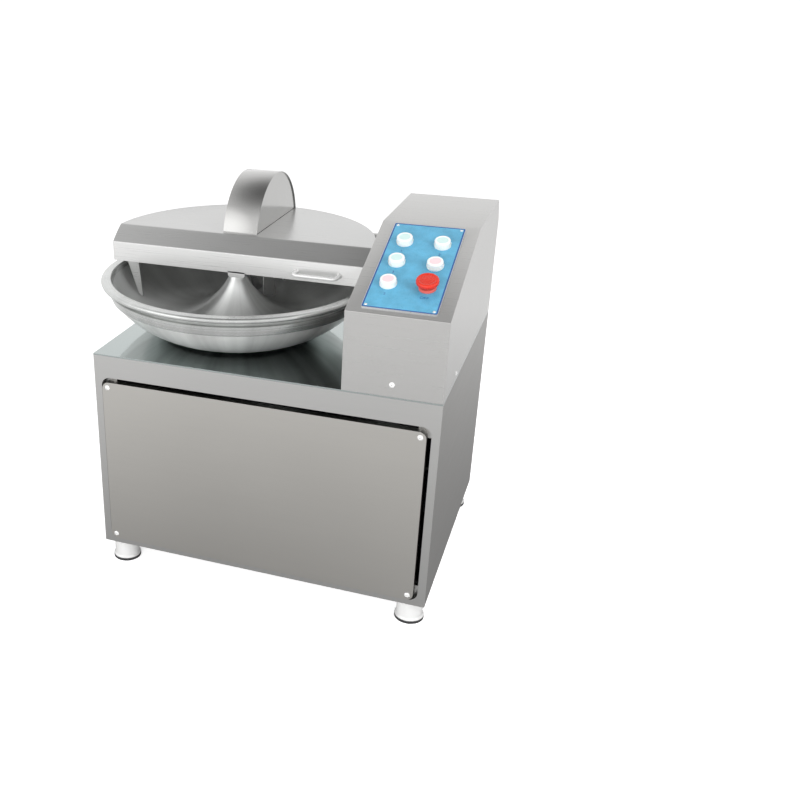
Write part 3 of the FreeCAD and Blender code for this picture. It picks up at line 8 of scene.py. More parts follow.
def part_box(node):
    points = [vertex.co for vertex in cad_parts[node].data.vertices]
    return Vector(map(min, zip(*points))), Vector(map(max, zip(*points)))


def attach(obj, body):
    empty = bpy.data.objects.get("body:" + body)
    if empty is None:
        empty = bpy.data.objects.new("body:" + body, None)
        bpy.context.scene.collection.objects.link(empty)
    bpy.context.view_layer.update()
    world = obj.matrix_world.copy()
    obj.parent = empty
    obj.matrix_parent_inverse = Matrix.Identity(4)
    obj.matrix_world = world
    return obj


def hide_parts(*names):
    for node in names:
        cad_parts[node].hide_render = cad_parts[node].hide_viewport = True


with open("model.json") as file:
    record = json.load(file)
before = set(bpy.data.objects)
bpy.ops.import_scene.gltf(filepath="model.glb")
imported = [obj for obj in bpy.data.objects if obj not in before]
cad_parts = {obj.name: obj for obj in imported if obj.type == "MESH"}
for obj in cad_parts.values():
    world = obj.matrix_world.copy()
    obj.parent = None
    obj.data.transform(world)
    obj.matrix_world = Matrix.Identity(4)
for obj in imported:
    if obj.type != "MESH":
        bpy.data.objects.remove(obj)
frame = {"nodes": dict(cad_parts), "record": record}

bl_info = {
    "name": "Bowl chopper",
    "version": (1, 0, 0),
    "blender": (4, 5, 0),
    "location": "View3D > Sidebar > Chopper",
    "description": "Dresses the bowl chopper's frame in finished sheet steel, turned steel and plastic",
    "category": "Object",
}

MM = 0.001
RIGHT = Vector((1, 0, 0))
BACK = Vector((0, 1, 0))
UP = Vector((0, 0, 1))
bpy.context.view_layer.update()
RECORD = frame["record"]
BODY_OF = {node: body for body, nodes in RECORD["behaviour"]["bodies"].items() for node in nodes}


def middle(node):
    """Middle of a CAD node's box."""
    low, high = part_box(node)
    return (low + high) / 2


# Places read from the frame
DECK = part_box("column_housing")[0].z
BOWL_AXIS = middle("bowl")
RIM_RADIUS = (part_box("bowl")[1].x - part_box("bowl")[0].x) / 2
RIM_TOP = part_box("bowl")[1].z - DECK
SHAFT = middle("knife_shaft")
LID_LOW, LID_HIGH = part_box("lid")
ARCH_LOW, ARCH_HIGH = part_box("knife_arch")
COLUMN_LOW, COLUMN_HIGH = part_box("column_housing")

# The column's sloping face: its rise over its run, and the middle of its lower edge
SLOPE_RISE = 95 * MM
SLOPE_RUN = 257.5 * MM
SLOPE_START = 149 * MM
SLOPE = math.atan2(SLOPE_RISE, SLOPE_RUN)
SLOPE_FOOT = Vector((middle("column_housing").x, COLUMN_LOW.y, DECK + SLOPE_START))


class ChopperSizes(bpy.types.PropertyGroup):
    """Sizes of the dressed pieces that a user would change."""

    trough_radius: bpy.props.FloatProperty(
        name="Trough radius", description="Radius of the bowl's ring-shaped trough",
        default=130.5 * MM, unit="LENGTH")
    trough_reach: bpy.props.FloatProperty(
        name="Trough reach", description="From the bowl's axis to the middle of the trough",
        default=136 * MM, unit="LENGTH")
    bowl_wall: bpy.props.FloatProperty(
        name="Bowl wall", description="Thickness of the turned bowl", default=8 * MM, unit="LENGTH")
    sheet: bpy.props.FloatProperty(
        name="Lid sheet", description="Thickness of the lid's steel", default=1.5 * MM, unit="LENGTH")
    fold_radius: bpy.props.FloatProperty(
        name="Fold radius", description="Outside radius of a folded sheet edge",
        default=1.6 * MM, unit="LENGTH")
    button_radius: bpy.props.FloatProperty(
        name="Button boot radius", description="Radius of a push button's rubber boot",
        default=14.4 * MM, unit="LENGTH")
    stop_radius: bpy.props.FloatProperty(
        name="Stop button radius", description="Radius of the mushroom head", default=20 * MM, unit="LENGTH")
    handle_rod: bpy.props.FloatProperty(
        name="Handle rod", description="Radius of the lid handle's rod", default=3.5 * MM, unit="LENGTH")


class ChopperColours(bpy.types.PropertyGroup):
    """Colours of the finishes that a user would change."""

    plate_blue: bpy.props.FloatVectorProperty(
        name="Control plate", description="Printed field of the control plate",
        default=(0.086, 0.335, 0.51), subtype="COLOR", min=0, max=1)
    stop_red: bpy.props.FloatVectorProperty(
        name="Stop red", description="Mushroom head of the stop button",
        default=(0.56, 0.022, 0.007), subtype="COLOR", min=0, max=1)


def sizes():
    return bpy.context.scene.chopper_sizes


def colours():
    return bpy.context.scene.chopper_colours


# Nodes
def set_inputs(tree, node, inputs):
    """Gives a node's inputs their values, each fixed or another node's output."""
    for name, value in inputs.items():
        if isinstance(value, bpy.types.NodeSocket):
            tree.links.new(value, node.inputs[name])
        else:
            node.inputs[name].default_value = value


def add_node(tree, kind, inputs=None, **settings):
    """Adds a node with its settings and inputs."""
    node = tree.nodes.new(kind)
    for name, value in settings.items():
        setattr(node, name, value)
    set_inputs(tree, node, inputs or {})
    return node


def sum_of(tree, first, second):
    """Two values added."""
    return add_node(tree, "ShaderNodeMath", {0: first, 1: second}, operation="ADD").outputs["Value"]


def vector_math(tree, operation, first, second=(0, 0, 0)):
    return add_node(tree, "ShaderNodeVectorMath", {0: first, 1: second}, operation=operation)


def object_place(tree):
    return add_node(tree, "ShaderNodeTexCoord").outputs["Object"]


def mix_shaders(tree, factor, first, second):
    """The second shader where the factor is 1, else the first."""
    return add_node(tree, "ShaderNodeMixShader", {"Fac": factor, 1: first, 2: second}).outputs["Shader"]


def mapped_noise(tree, vector, scale, detail):
    """Noise read along stretched coordinates."""
    mapping = add_node(tree, "ShaderNodeMapping", {"Scale": scale, "Vector": vector})
    inputs = {"Scale": 1.0, "Detail": detail, "Vector": mapping.outputs["Vector"]}
    return add_node(tree, "ShaderNodeTexNoise", inputs).outputs["Fac"]


def spread(tree, value, low, high, start=0.3, end=0.7):
    """Maps a noise value to a range."""
    inputs = {"From Min": start, "From Max": end, "To Min": low, "To Max": high, "Value": value}
    return add_node(tree, "ShaderNodeMapRange", inputs).outputs["Result"]


def shade(colour, factor):
    """The colour made lighter or darker."""
    return (*(min(1.0, part * factor) for part in colour), 1)


def tint(tree, factor, colour, most):
    """The colour, darker or lighter by up to a share of itself."""
    inputs = {"A": shade(colour, 1 - most), "B": shade(colour, 1 + most), "Factor": factor}
    return add_node(tree, "ShaderNodeMix", inputs, data_type="RGBA").outputs["Result"]


def from_axis(tree, centre, axis):
    """Place measured from a point, and the same without its part along an axis."""
    away = vector_math(tree, "SUBTRACT", object_place(tree), centre).outputs["Vector"]
    across = [0 if name == axis else 1 for name in "XYZ"]
    return away, vector_math(tree, "MULTIPLY", away, across).outputs["Vector"]


def turned_coordinates(tree, centre, axis):
    """Coordinates that keep only the radius from an axis and the place along it."""
    away, flat = from_axis(tree, centre, axis)
    radius = vector_math(tree, "LENGTH", flat).outputs["Value"]
    split = add_node(tree, "ShaderNodeSeparateXYZ", {"Vector": away})
    return add_node(tree, "ShaderNodeCombineXYZ", {"X": radius, "Z": split.outputs[axis]}).outputs["Vector"]


def outward(tree, centre, axis):
    """Unit direction away from an axis."""
    flat = from_axis(tree, centre, axis)[1]
    return vector_math(tree, "NORMALIZE", flat).outputs["Vector"]


def stretch_gloss(tree, shader, away, amount):
    """Stretches reflections across the grooves that turning leaves."""
    turn = add_node(tree, "ShaderNodeVectorTransform", {"Vector": away},
                    vector_type="VECTOR", convert_from="OBJECT", convert_to="WORLD")
    set_inputs(tree, shader, {"Anisotropic": amount, "Tangent": turn.outputs["Vector"]})


def add_relief(tree, shader, height, strength, distance):
    """Fine relief on a shader's surface."""
    bump = add_node(tree, "ShaderNodeBump", {"Strength": strength, "Distance": distance, "Height": height})
    set_inputs(tree, shader, {"Normal": bump.outputs["Normal"]})


# Finishes
MATERIALS = {}
CLOUDS = (3.1, 3.1, 3.1)
SHEEN_AND_MARK_STREAKS = (5.5, 5.5, 5.5)
MOTTLING = (60, 60, 60)
TURNED_GRAIN = (1700, 1, 1700)
ABOUT_BOWL = ((BOWL_AXIS.x, BOWL_AXIS.y, 0), "Z")
ABOUT_SHAFT = ((0, SHAFT.y, SHAFT.z), "X")
# Painted light on turned steel: full within the first radius from the axis, none beyond the second
PAINTED_LIGHT_START = 20 * MM
PAINTED_LIGHT_END = 85 * MM


def new_material(name):
    """Node material with one Principled shader."""
    mat = bpy.data.materials.new(name)
    mat.use_nodes = True
    tree = mat.node_tree
    tree.nodes.clear()
    output = tree.nodes.new("ShaderNodeOutputMaterial")
    shader = tree.nodes.new("ShaderNodeBsdfPrincipled")
    set_inputs(tree, output, {"Surface": shader.outputs["BSDF"]})
    return mat, tree, shader


def steel(name, colour, roughness=0.3, grain=(6, 1400, 1400), turned=None, metallic=1.0,
          variation=0.012, clouds_and_sheen_streaks=0.02, relief=0.015, stretch=0.0, painted_axis_light=0.0):
    """Brushed or turned steel: fine grain in colour, gloss and relief, and soft large clouds; with stretched
    gloss, streaks round the axis take the clouds' place, painted reflection streaks that also stand for
    handling marks; and, where asked, painted light towards the axis.
    """
    if name in MATERIALS:
        return MATERIALS[name]
    mat, tree, shader = new_material(name)
    vector = turned_coordinates(tree, *turned) if turned else object_place(tree)
    fine = mapped_noise(tree, vector, grain, 3.0)
    if stretch:
        away = outward(tree, *turned)
        stretch_gloss(tree, shader, away, stretch)
        # Streaks round the axis: painted reflection streaks, also standing for handling marks
        wide = mapped_noise(tree, away, SHEEN_AND_MARK_STREAKS, 4.0)
    else:
        wide = mapped_noise(tree, vector, CLOUDS, 2.0)
    change = sum_of(tree, spread(tree, fine, -variation, variation), spread(tree, wide, -clouds_and_sheen_streaks, clouds_and_sheen_streaks))
    # Painted light: lighter towards the axis, which brightens the cone
    if painted_axis_light:
        radius = add_node(tree, "ShaderNodeSeparateXYZ", {"Vector": vector}).outputs["X"]
        change = sum_of(tree, change, spread(tree, radius, painted_axis_light, 0, PAINTED_LIGHT_START, PAINTED_LIGHT_END))
    most = variation + clouds_and_sheen_streaks + painted_axis_light
    set_inputs(tree, shader, {
        "Base Color": tint(tree, spread(tree, change, 0, 1, -most, most), colour, most),
        "Roughness": spread(tree, fine, roughness * 0.9, roughness * 1.1),
        "Metallic": metallic,
    })
    add_relief(tree, shader, fine, relief, 0.2 * MM)
    MATERIALS[name] = mat
    return mat


def plastic(name, colour, roughness=0.4, mottle=0.04, relief=0.1, grain=900, scatter=0.0):
    """Moulded plastic, rubber or paint: faint mottling and a fine skin."""
    if name in MATERIALS:
        return MATERIALS[name]
    mat, tree, shader = new_material(name)
    vector = object_place(tree)
    wide = mapped_noise(tree, vector, MOTTLING, 2.0)
    skin = mapped_noise(tree, vector, (grain, grain, grain), 2.0)
    set_inputs(tree, shader, {
        "Base Color": tint(tree, spread(tree, wide, 0, 1), colour, mottle),
        "Roughness": spread(tree, skin, roughness * 0.85, roughness * 1.15),
        "Subsurface Weight": scatter,
        "Subsurface Scale": 4 * MM,
    })
    add_relief(tree, shader, skin, relief, 0.1 * MM)
    MATERIALS[name] = mat
    return mat


def frame_steel():
    return steel("frame_steel", (0.565, 0.562, 0.553), 0.34)


# Painted shade: the cabinet's sides get steel at about half the frame's brightness, for the dark reflection
# they show
def side_shaded_steel():
    return steel("side_shaded_steel", (0.268, 0.262, 0.252), 0.34, (1400, 6, 1400))


def panel_steel():
    return steel("panel_steel", (0.573, 0.558, 0.529), 0.36, (6, 1500, 1500))


def deck_steel():
    return steel("deck_steel", (0.405, 0.445, 0.44), 0.07, (6, 1300, 1300))


def column_steel():
    return steel("column_steel", (0.495, 0.491, 0.483), 0.30, (6, 1500, 1500), metallic=0.9)


def lid_steel():
    return steel("lid_steel", (0.51, 0.51, 0.505), 0.3, metallic=0.85)


# Painted light: the lid's steel made lighter and less metallic, for the lid's faces that look to the front
def flange_painted_light_steel():
    return steel("flange_painted_light_steel", (0.60, 0.60, 0.595), 0.3, metallic=0.5)


def arch_steel():
    return steel("arch_steel", (0.46, 0.458, 0.45), 0.15, (6, 1200, 1200), metallic=0.95)


def bowl_steel():
    return steel("bowl_steel", (0.62, 0.63, 0.62), 0.32, TURNED_GRAIN, ABOUT_BOWL, metallic=0.72,
                 variation=0.006, clouds_and_sheen_streaks=0.09, relief=0.003, stretch=0.8, painted_axis_light=0.45)


def rim_steel():
    return steel("rim_steel", (0.58, 0.59, 0.58), 0.26, TURNED_GRAIN, ABOUT_BOWL, metallic=0.95,
                 variation=0.006, clouds_and_sheen_streaks=0.10, relief=0.003, stretch=0.8)


def skirt_steel():
    return steel("skirt_steel", (0.80, 0.805, 0.795), 0.32, TURNED_GRAIN, ABOUT_BOWL, metallic=0.8,
                 variation=0.006, clouds_and_sheen_streaks=0.20, relief=0.003, stretch=0.85)


def bright_steel():
    return steel("bright_steel", (0.74, 0.74, 0.735), 0.22, (900, 900, 900), metallic=0.5)


def polished_steel():
    return steel("polished_steel", (0.64, 0.64, 0.635), 0.2, (900, 900, 900), metallic=0.12)


def satin_steel():
    return steel("satin_steel", (0.56, 0.56, 0.55), 0.32, (300, 300, 300), variation=0.05)


def ground_steel():
    return steel("ground_steel", (0.60, 0.60, 0.60), 0.24, (500, 1, 500), ABOUT_SHAFT)


def cast_iron():
    return steel("cast_iron", (0.20, 0.205, 0.21), 0.5, (260, 260, 260), variation=0.14, relief=0.5)


def blade_steel():
    return steel("blade_steel", (0.72, 0.73, 0.74), 0.15, (260, 260, 260), variation=0.04)


def plate_trim():
    return steel("plate_trim", (0.80, 0.82, 0.84), 0.3, (200, 200, 200))


def plate_line():
    return plastic("plate_line", (0.012, 0.07, 0.26), 0.32)


def plate_field():
    return plastic("plate_field", tuple(colours().plate_blue), 0.30, mottle=0.10)


def print_ink():
    return plastic("print_ink", (0.012, 0.07, 0.26))


def motor_paint():
    return plastic("motor_paint", (0.085, 0.115, 0.15), 0.42, relief=0.3, grain=500)


def black_rubber():
    return plastic("black_rubber", (0.025, 0.025, 0.026), 0.62, relief=0.3)


def case_plastic():
    return plastic("case_plastic", (0.05, 0.052, 0.055), 0.5)


def boot_white():
    return plastic("boot_white", (0.72, 0.75, 0.74), 0.42, mottle=0.015, scatter=0.1)


def green_tint():
    return plastic("button_green_tint", (0.52, 0.68, 0.66), mottle=0.02)


def pink_tint():
    return plastic("button_pink_tint", (0.74, 0.55, 0.58), mottle=0.02)


def stop_red():
    return plastic("stop_red", tuple(colours().stop_red), 0.28, mottle=0.03)


def stop_collar():
    return plastic("stop_collar", (0.60, 0.10, 0.08), 0.35)


def stop_grey():
    return plastic("stop_grey", (0.42, 0.43, 0.44), 0.35)


# Mesh tools
MERGE = 0.001 * MM
CUT = 0.0001 * MM
ORIGIN = Vector((0, 0, 0))


def arc(centre, radius, start, end, steps):
    """Points of an arc as pairs, with the angles in degrees."""
    points = []
    for step in range(steps + 1):
        angle = math.radians(start + (end - start) * step / steps)
        points.append((centre[0] + radius * math.cos(angle), centre[1] + radius * math.sin(angle)))
    return points


def turned(profile, centre, steps, closed=True):
    """New bmesh of a profile of radius and height, turned about a vertical axis through centre."""
    bm = bmesh.new()
    verts = [bm.verts.new(centre + Vector((radius, 0, height))) for radius, height in profile]
    edges = [bm.edges.new(pair) for pair in zip(verts, verts[1:])]
    if closed:
        edges.append(bm.edges.new((verts[-1], verts[0])))
    bmesh.ops.spin(
        bm, geom=verts + edges, cent=centre, axis=UP, dvec=ORIGIN,
        angle=math.tau, steps=steps, use_merge=True, use_normal_flip=False, use_duplicate=False)
    bmesh.ops.remove_doubles(bm, verts=bm.verts, dist=MERGE)
    loose = [edge for edge in bm.edges if not edge.link_faces]
    bmesh.ops.delete(bm, geom=loose, context="EDGES")
    bmesh.ops.recalc_face_normals(bm, faces=bm.faces)
    return bm


def sharp_edges(bm, angle):
    """Edges between two faces that meet at more than the angle."""
    limit = math.radians(angle)
    return [edge for edge in bm.edges if len(edge.link_faces) == 2 and edge.calc_face_angle() > limit]


def bevel(bm, geom, width, affect, segments):
    bmesh.ops.bevel(
        bm, geom=geom, offset=width, offset_type="OFFSET", affect=affect, segments=segments,
        profile=0.5, material=-1, clamp_overlap=True, loop_slide=True)


def flat_face(bm, points):
    """One face through the points."""
    return bm.faces.new([bm.verts.new(point) for point in points])


def new_verts(result):
    """The vertices that an operator made."""
    return [item for item in result["geom"] if isinstance(item, bmesh.types.BMVert)]


def raise_face(bm, faces, offset):
    """Extrudes faces into a solid along offset."""
    moved = new_verts(bmesh.ops.extrude_face_region(bm, geom=faces))
    bmesh.ops.translate(bm, verts=moved, vec=offset)
    bmesh.ops.recalc_face_normals(bm, faces=bm.faces)


def highest_face(bm):
    return max(bm.faces, key=lambda face: face.calc_center_median().z)


def face_up(bm):
    """Turns an open sheet's faces so that its highest one looks up."""
    bmesh.ops.recalc_face_normals(bm, faces=bm.faces)
    if highest_face(bm).normal.z < 0:
        bmesh.ops.reverse_faces(bm, faces=bm.faces)


def cut_plane(bm, faces, point, normal):
    """Cuts only the given faces along a plane."""
    geom = dict.fromkeys(faces)
    for face in faces:
        geom.update(dict.fromkeys([*face.edges, *face.verts]))
    bmesh.ops.bisect_plane(bm, geom=list(geom), dist=CUT, plane_co=point, plane_no=normal)


def merge_into(bm, part):
    """Adds one bmesh to another and frees it."""
    mesh = bpy.data.meshes.new("part")
    part.to_mesh(mesh)
    part.free()
    bm.from_mesh(mesh)
    bpy.data.meshes.remove(mesh)


def make_piece(bm, name, materials, node, sharp=32, replaces=True):
    """Turns a bmesh into a smooth piece of the machine with the given finishes, which rides as its node
    does.
    """
    limit = math.radians(sharp)
    for face in bm.faces:
        face.smooth = True
    for edge in bm.edges:
        edge.smooth = not (len(edge.link_faces) == 2 and edge.calc_face_angle() > limit)
    mesh = bpy.data.meshes.new(name)
    bm.to_mesh(mesh)
    bm.free()
    piece = bpy.data.objects.new(name, mesh)
    bpy.context.scene.collection.objects.link(piece)
    for mat in materials:
        mesh.materials.append(mat)
    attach(piece, BODY_OF[node])
    if replaces:
        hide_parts(node)
    return piece


def dressed(node, material, width, segments=2, shortest=0.0):
    """Copy of a CAD node with merged faces and rounded edges, which stands for the node."""
    bm = bmesh.new()
    bm.from_mesh(frame["nodes"][node].data)
    bmesh.ops.remove_doubles(bm, verts=bm.verts, dist=MERGE)
    bmesh.ops.dissolve_limit(
        bm, angle_limit=math.radians(0.5), verts=bm.verts, edges=bm.edges, use_dissolve_boundaries=False)
    edges = [edge for edge in sharp_edges(bm, 40) if edge.calc_length() > shortest]
    if edges:
        bevel(bm, edges, width, "EDGES", segments)
    piece = make_piece(bm, node + "_finished", [material], node)
    modifier = piece.modifiers.new("Even_shading", "WEIGHTED_NORMAL")
    modifier.keep_sharp = True


def repaint(material, *nodes):
    """Gives CAD nodes that keep their own mesh a finish."""
    for node in nodes:
        for slot in frame["nodes"][node].material_slots:
            slot.material = material


# Stage: the floor's paper, its glow to the camera, and the glow that steel sees in it from near to far, with
# painted shade close to the machine
FLOOR_SIZE = 60.0
PAPER = 0.86
PAPER_GLOW = 0.62
PAINTED_SHADE_POOL = (0.44, 1.02)
PAINTED_SHADE_REACH = (0.35, 1.75)

# Camera, solved on the photograph's frame
PHOTO_WIDTH = 800
SENSOR = 36.0
FOCAL_PIXELS = 990.1
CAMERA_PLACE = Vector((598.9, -1826.4, 1184.9)) * MM
CAMERA_YAW = math.radians(21.25)
CAMERA_PITCH = math.radians(25.32)
CAMERA_ROLL = math.radians(-0.2)
CAMERA_SHIFT = (0.2042, 0.0196)

# Room that steel sees: its brightness by the direction's height, and a window's from edge to middle
ROOM_STOPS = [(0.0, 1.0), (0.42, 1.0), (0.62, 0.92), (0.80, 0.60), (0.90, 0.34), (1.0, 0.12)]
ROOM_LIGHT = 0.48
WINDOW_TOWARDS = Vector((-0.62, -0.75, 0.22)).normalized()
WINDOW = (1.18, 2.1)
WINDOW_EDGE = (0.80, 1.0)
LAMP_AIM = Vector((0, 0, 0.35))

# Each lamp's place, width and power
LAMPS = {
    "Key": ((-1.9, -2.0, 1.3), 2.0, 18.0),
    "Top": ((0.3, 0.8, 2.6), 2.2, 20.0),
    "Fill": ((2.0, -0.9, 1.7), 1.2, 30.0),
    "Front": ((0.1, -2.4, 0.8), 1.3, 44.0),
}


def grey(value):
    return (value, value, value, 1)


def make_camera(scene):
    data = bpy.data.cameras.new("Camera")
    data.sensor_width = SENSOR
    data.lens = FOCAL_PIXELS * SENSOR / PHOTO_WIDTH
    data.shift_x, data.shift_y = CAMERA_SHIFT
    data.clip_start = 0.05
    data.clip_end = 200
    camera = bpy.data.objects.new("Camera", data)
    tilt = Matrix.Rotation(math.pi / 2 - CAMERA_PITCH, 4, "X") @ Matrix.Rotation(CAMERA_ROLL, 4, "Z")
    turn = Matrix.Rotation(CAMERA_YAW, 4, "Z") @ tilt
    camera.matrix_world = Matrix.Translation(CAMERA_PLACE) @ turn
    scene.collection.objects.link(camera)
    scene.camera = camera


def make_floor(scene):
    """White paper to the camera, which steel sees as a glow with painted shade, darker close by."""
    bm = bmesh.new()
    bmesh.ops.create_grid(bm, x_segments=1, y_segments=1, size=FLOOR_SIZE)
    mesh = bpy.data.meshes.new("Floor")
    bm.to_mesh(mesh)
    bm.free()
    floor = bpy.data.objects.new("Floor", mesh)
    scene.collection.objects.link(floor)
    mat, tree, shader = new_material("floor_paper")
    set_inputs(tree, shader, {"Base Color": grey(PAPER), "Roughness": 0.9, "Specular IOR Level": 0.1})
    path = add_node(tree, "ShaderNodeLightPath")
    strength = add_node(
        tree, "ShaderNodeMath", {0: path.outputs["Is Camera Ray"], 1: PAPER_GLOW}, operation="MULTIPLY")
    glow = add_node(tree, "ShaderNodeEmission", {"Strength": strength.outputs["Value"]})
    paper = add_node(
        tree, "ShaderNodeAddShader", {0: shader.outputs["BSDF"], 1: glow.outputs["Emission"]})
    # Painted shade: steel sees the floor as a glow, dim near the machine and bright far off
    away = vector_math(tree, "LENGTH", object_place(tree)).outputs["Value"]
    painted_shade_pool = add_node(tree, "ShaderNodeEmission", {"Strength": spread(tree, away, *PAINTED_SHADE_POOL, *PAINTED_SHADE_REACH)})
    seen = mix_shaders(
        tree, path.outputs["Is Glossy Ray"], paper.outputs["Shader"], painted_shade_pool.outputs["Emission"])
    output = next(node for node in tree.nodes if node.type == "OUTPUT_MATERIAL")
    set_inputs(tree, output, {"Surface": seen})
    mesh.materials.append(mat)


def make_world(scene):
    """Soft light all round: white to the camera, and a pale room with a window to steel."""
    world = bpy.data.worlds.new("Studio")
    world.use_nodes = True
    scene.world = world
    tree = world.node_tree
    tree.nodes.clear()
    output = add_node(tree, "ShaderNodeOutputWorld")
    path = add_node(tree, "ShaderNodeLightPath")
    direction = add_node(tree, "ShaderNodeTexCoord").outputs["Generated"]
    split = add_node(tree, "ShaderNodeSeparateXYZ", {"Vector": direction})
    ramp = add_node(tree, "ShaderNodeValToRGB", {"Fac": split.outputs["Z"]})
    stops = ramp.color_ramp.elements
    for stop, (position, value) in zip(stops, (ROOM_STOPS[0], ROOM_STOPS[-1])):
        stop.position = position
        stop.color = grey(value)
    for position, value in ROOM_STOPS[1:-1]:
        stops.new(position).color = grey(value)
    facing = vector_math(tree, "DOT_PRODUCT", direction, WINDOW_TOWARDS).outputs["Value"]
    window = spread(tree, facing, *WINDOW, *WINDOW_EDGE)
    room = add_node(tree, "ShaderNodeBackground", {"Color": ramp.outputs["Color"], "Strength": window})
    soft = add_node(tree, "ShaderNodeBackground", {"Color": grey(ROOM_LIGHT)})
    white = add_node(tree, "ShaderNodeBackground", {"Color": grey(1)})
    light = mix_shaders(
        tree, path.outputs["Is Glossy Ray"], soft.outputs["Background"], room.outputs["Background"])
    seen = mix_shaders(tree, path.outputs["Is Camera Ray"], light, white.outputs["Background"])
    set_inputs(tree, output, {"Surface": seen})


def make_lamps(scene):
    for name, (place, width, power) in LAMPS.items():
        data = bpy.data.lights.new(name, "AREA")
        data.shape = "SQUARE"
        data.size = width
        data.energy = power
        lamp = bpy.data.objects.new(name, data)
        lamp.visible_glossy = False
        aim = (LAMP_AIM - Vector(place)).to_track_quat("-Z", "Y")
        lamp.matrix_world = Matrix.Translation(place) @ aim.to_matrix().to_4x4()
        scene.collection.objects.link(lamp)


class CHOPPER_OT_stage(bpy.types.Operator):
    """Makes the floor, the soft studio light and the camera"""

    bl_idname = "chopper.stage"
    bl_label = "Stage"

    def execute(self, context):
        scene = context.scene
        scene.view_settings.view_transform = "Standard"
        make_camera(scene)
        make_floor(scene)
        make_world(scene)
        make_lamps(scene)
        return {"FINISHED"}


# Cabinet
class CHOPPER_OT_cabinet(bpy.types.Operator):
    """Finishes the folded sheets of the cabinet"""

    bl_idname = "chopper.cabinet"
    bl_label = "Cabinet"

    def execute(self, context):
        dressed("front_frame", frame_steel(), 1.0 * MM, 3)
        dressed("left_side", side_shaded_steel(), 0.4 * MM)
        dressed("right_side", side_shaded_steel(), 0.4 * MM)
        dressed("back_panel", frame_steel(), 0.35 * MM)
        dressed("deck_plate", deck_steel(), 0.6 * MM)
        dressed("base_tray", frame_steel(), 0.4 * MM)
        dressed("front_panel", panel_steel(), 1.4 * MM, 3, shortest=3 * MM)
        return {"FINISHED"}


PAD_HEIGHT = 6 * MM


def foot_outline(top):
    """Outline of a foot: a flared base, a straight cup and its stud."""
    body, base, pad = 25.5 * MM, 28.5 * MM, PAD_HEIGHT
    shoulder, edge, lip = 48 * MM, 1 * MM, 1.2 * MM
    stud, stud_tip = 5 * MM, 4.2 * MM
    outline = [(0, pad), (base - edge, pad)]
    outline += arc((base - edge, pad + lip), lip, -90, 60, 5)
    outline += [(body + 0.9 * MM, pad + 3.8 * MM), (body + 0.2 * MM, pad + 5.2 * MM)]
    outline += [(body, pad + 7 * MM), (body, shoulder), (stud, shoulder)]
    return outline + [(stud, top - edge), (stud_tip, top), (0, top)]


def pad_outline():
    """Outline of a rubber pad, rounded at its rim."""
    rim, lower, upper, pad = 28.9 * MM, 1.2 * MM, 0.8 * MM, PAD_HEIGHT
    outline = [(0, 0), (rim - lower, 0)]
    outline += arc((rim - lower, lower), lower, -90, 0, 4)
    outline += arc((rim - upper, pad - upper), upper, 0, 90, 3)
    return outline + [(0, pad)]


class CHOPPER_OT_feet(bpy.types.Operator):
    """Turns the four cup feet and their rubber pads"""

    bl_idname = "chopper.feet"
    bl_label = "Feet"

    def execute(self, context):
        pads = bmesh.new()
        for corner in ("front_left", "front_right", "rear_left", "rear_right"):
            node = "foot_" + corner
            place = middle(node)
            centre = Vector((place.x, place.y, 0))
            bm = turned(foot_outline(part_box(node)[1].z), centre, 72, closed=False)
            make_piece(bm, node + "_turned", [polished_steel()], node, sharp=28)
            merge_into(pads, turned(pad_outline(), centre, 64, closed=False))
        make_piece(pads, "foot_pads_moulded", [black_rubber()], "foot_pads")
        return {"FINISHED"}


# Radius and height of each kind of screw head
LARGE_SCREW = (5.2 * MM, 2.2 * MM)
PLATE_SCREW = (3.0 * MM, 1.5 * MM)
PLATE_SCREW_SUNK = 0.8 * MM


def dome_screw(bm, place, facing, radius, height):
    """Round-headed screw with two thin bars for the cross that a driver takes."""
    sweep = 2 * math.atan2(height, radius)
    ball = radius / math.sin(sweep)
    dome = arc((0, height - ball), ball, 90 - math.degrees(sweep), 90, 8)
    head = turned([(0, 0), (radius, 0)] + dome, ORIGIN, 32, closed=False)
    for angle in (30, 120):
        bar = bmesh.ops.create_cube(head, size=1)["verts"]
        bmesh.ops.scale(head, vec=(radius * 1.05, radius * 0.24, height * 0.16), verts=bar)
        turn = Matrix.Rotation(math.radians(angle), 3, "Z")
        bmesh.ops.rotate(head, cent=ORIGIN, matrix=turn, verts=bar)
        bmesh.ops.translate(head, vec=(0, 0, height * 0.97), verts=bar)
    tilt = facing.to_track_quat("Z", "Y").to_matrix().to_4x4()
    bmesh.ops.transform(head, matrix=Matrix.Translation(place) @ tilt, verts=head.verts)
    merge_into(bm, head)


def islands(node):
    """Boxes of the separate solids in a CAD node, as (low, high) pairs."""
    bm = bmesh.new()
    bm.from_mesh(frame["nodes"][node].data)
    bmesh.ops.remove_doubles(bm, verts=bm.verts, dist=MERGE)
    seen = set()
    found = []
    for start in bm.verts:
        if start in seen:
            continue
        seen.add(start)
        stack = [start]
        group = []
        while stack:
            vert = stack.pop()
            group.append(vert.co.copy())
            for edge in vert.link_edges:
                other = edge.other_vert(vert)
                if other not in seen:
                    seen.add(other)
                    stack.append(other)
        low = Vector([min(point[axis] for point in group) for axis in range(3)])
        high = Vector([max(point[axis] for point in group) for axis in range(3)])
        found.append((low, high))
    bm.free()
    return found


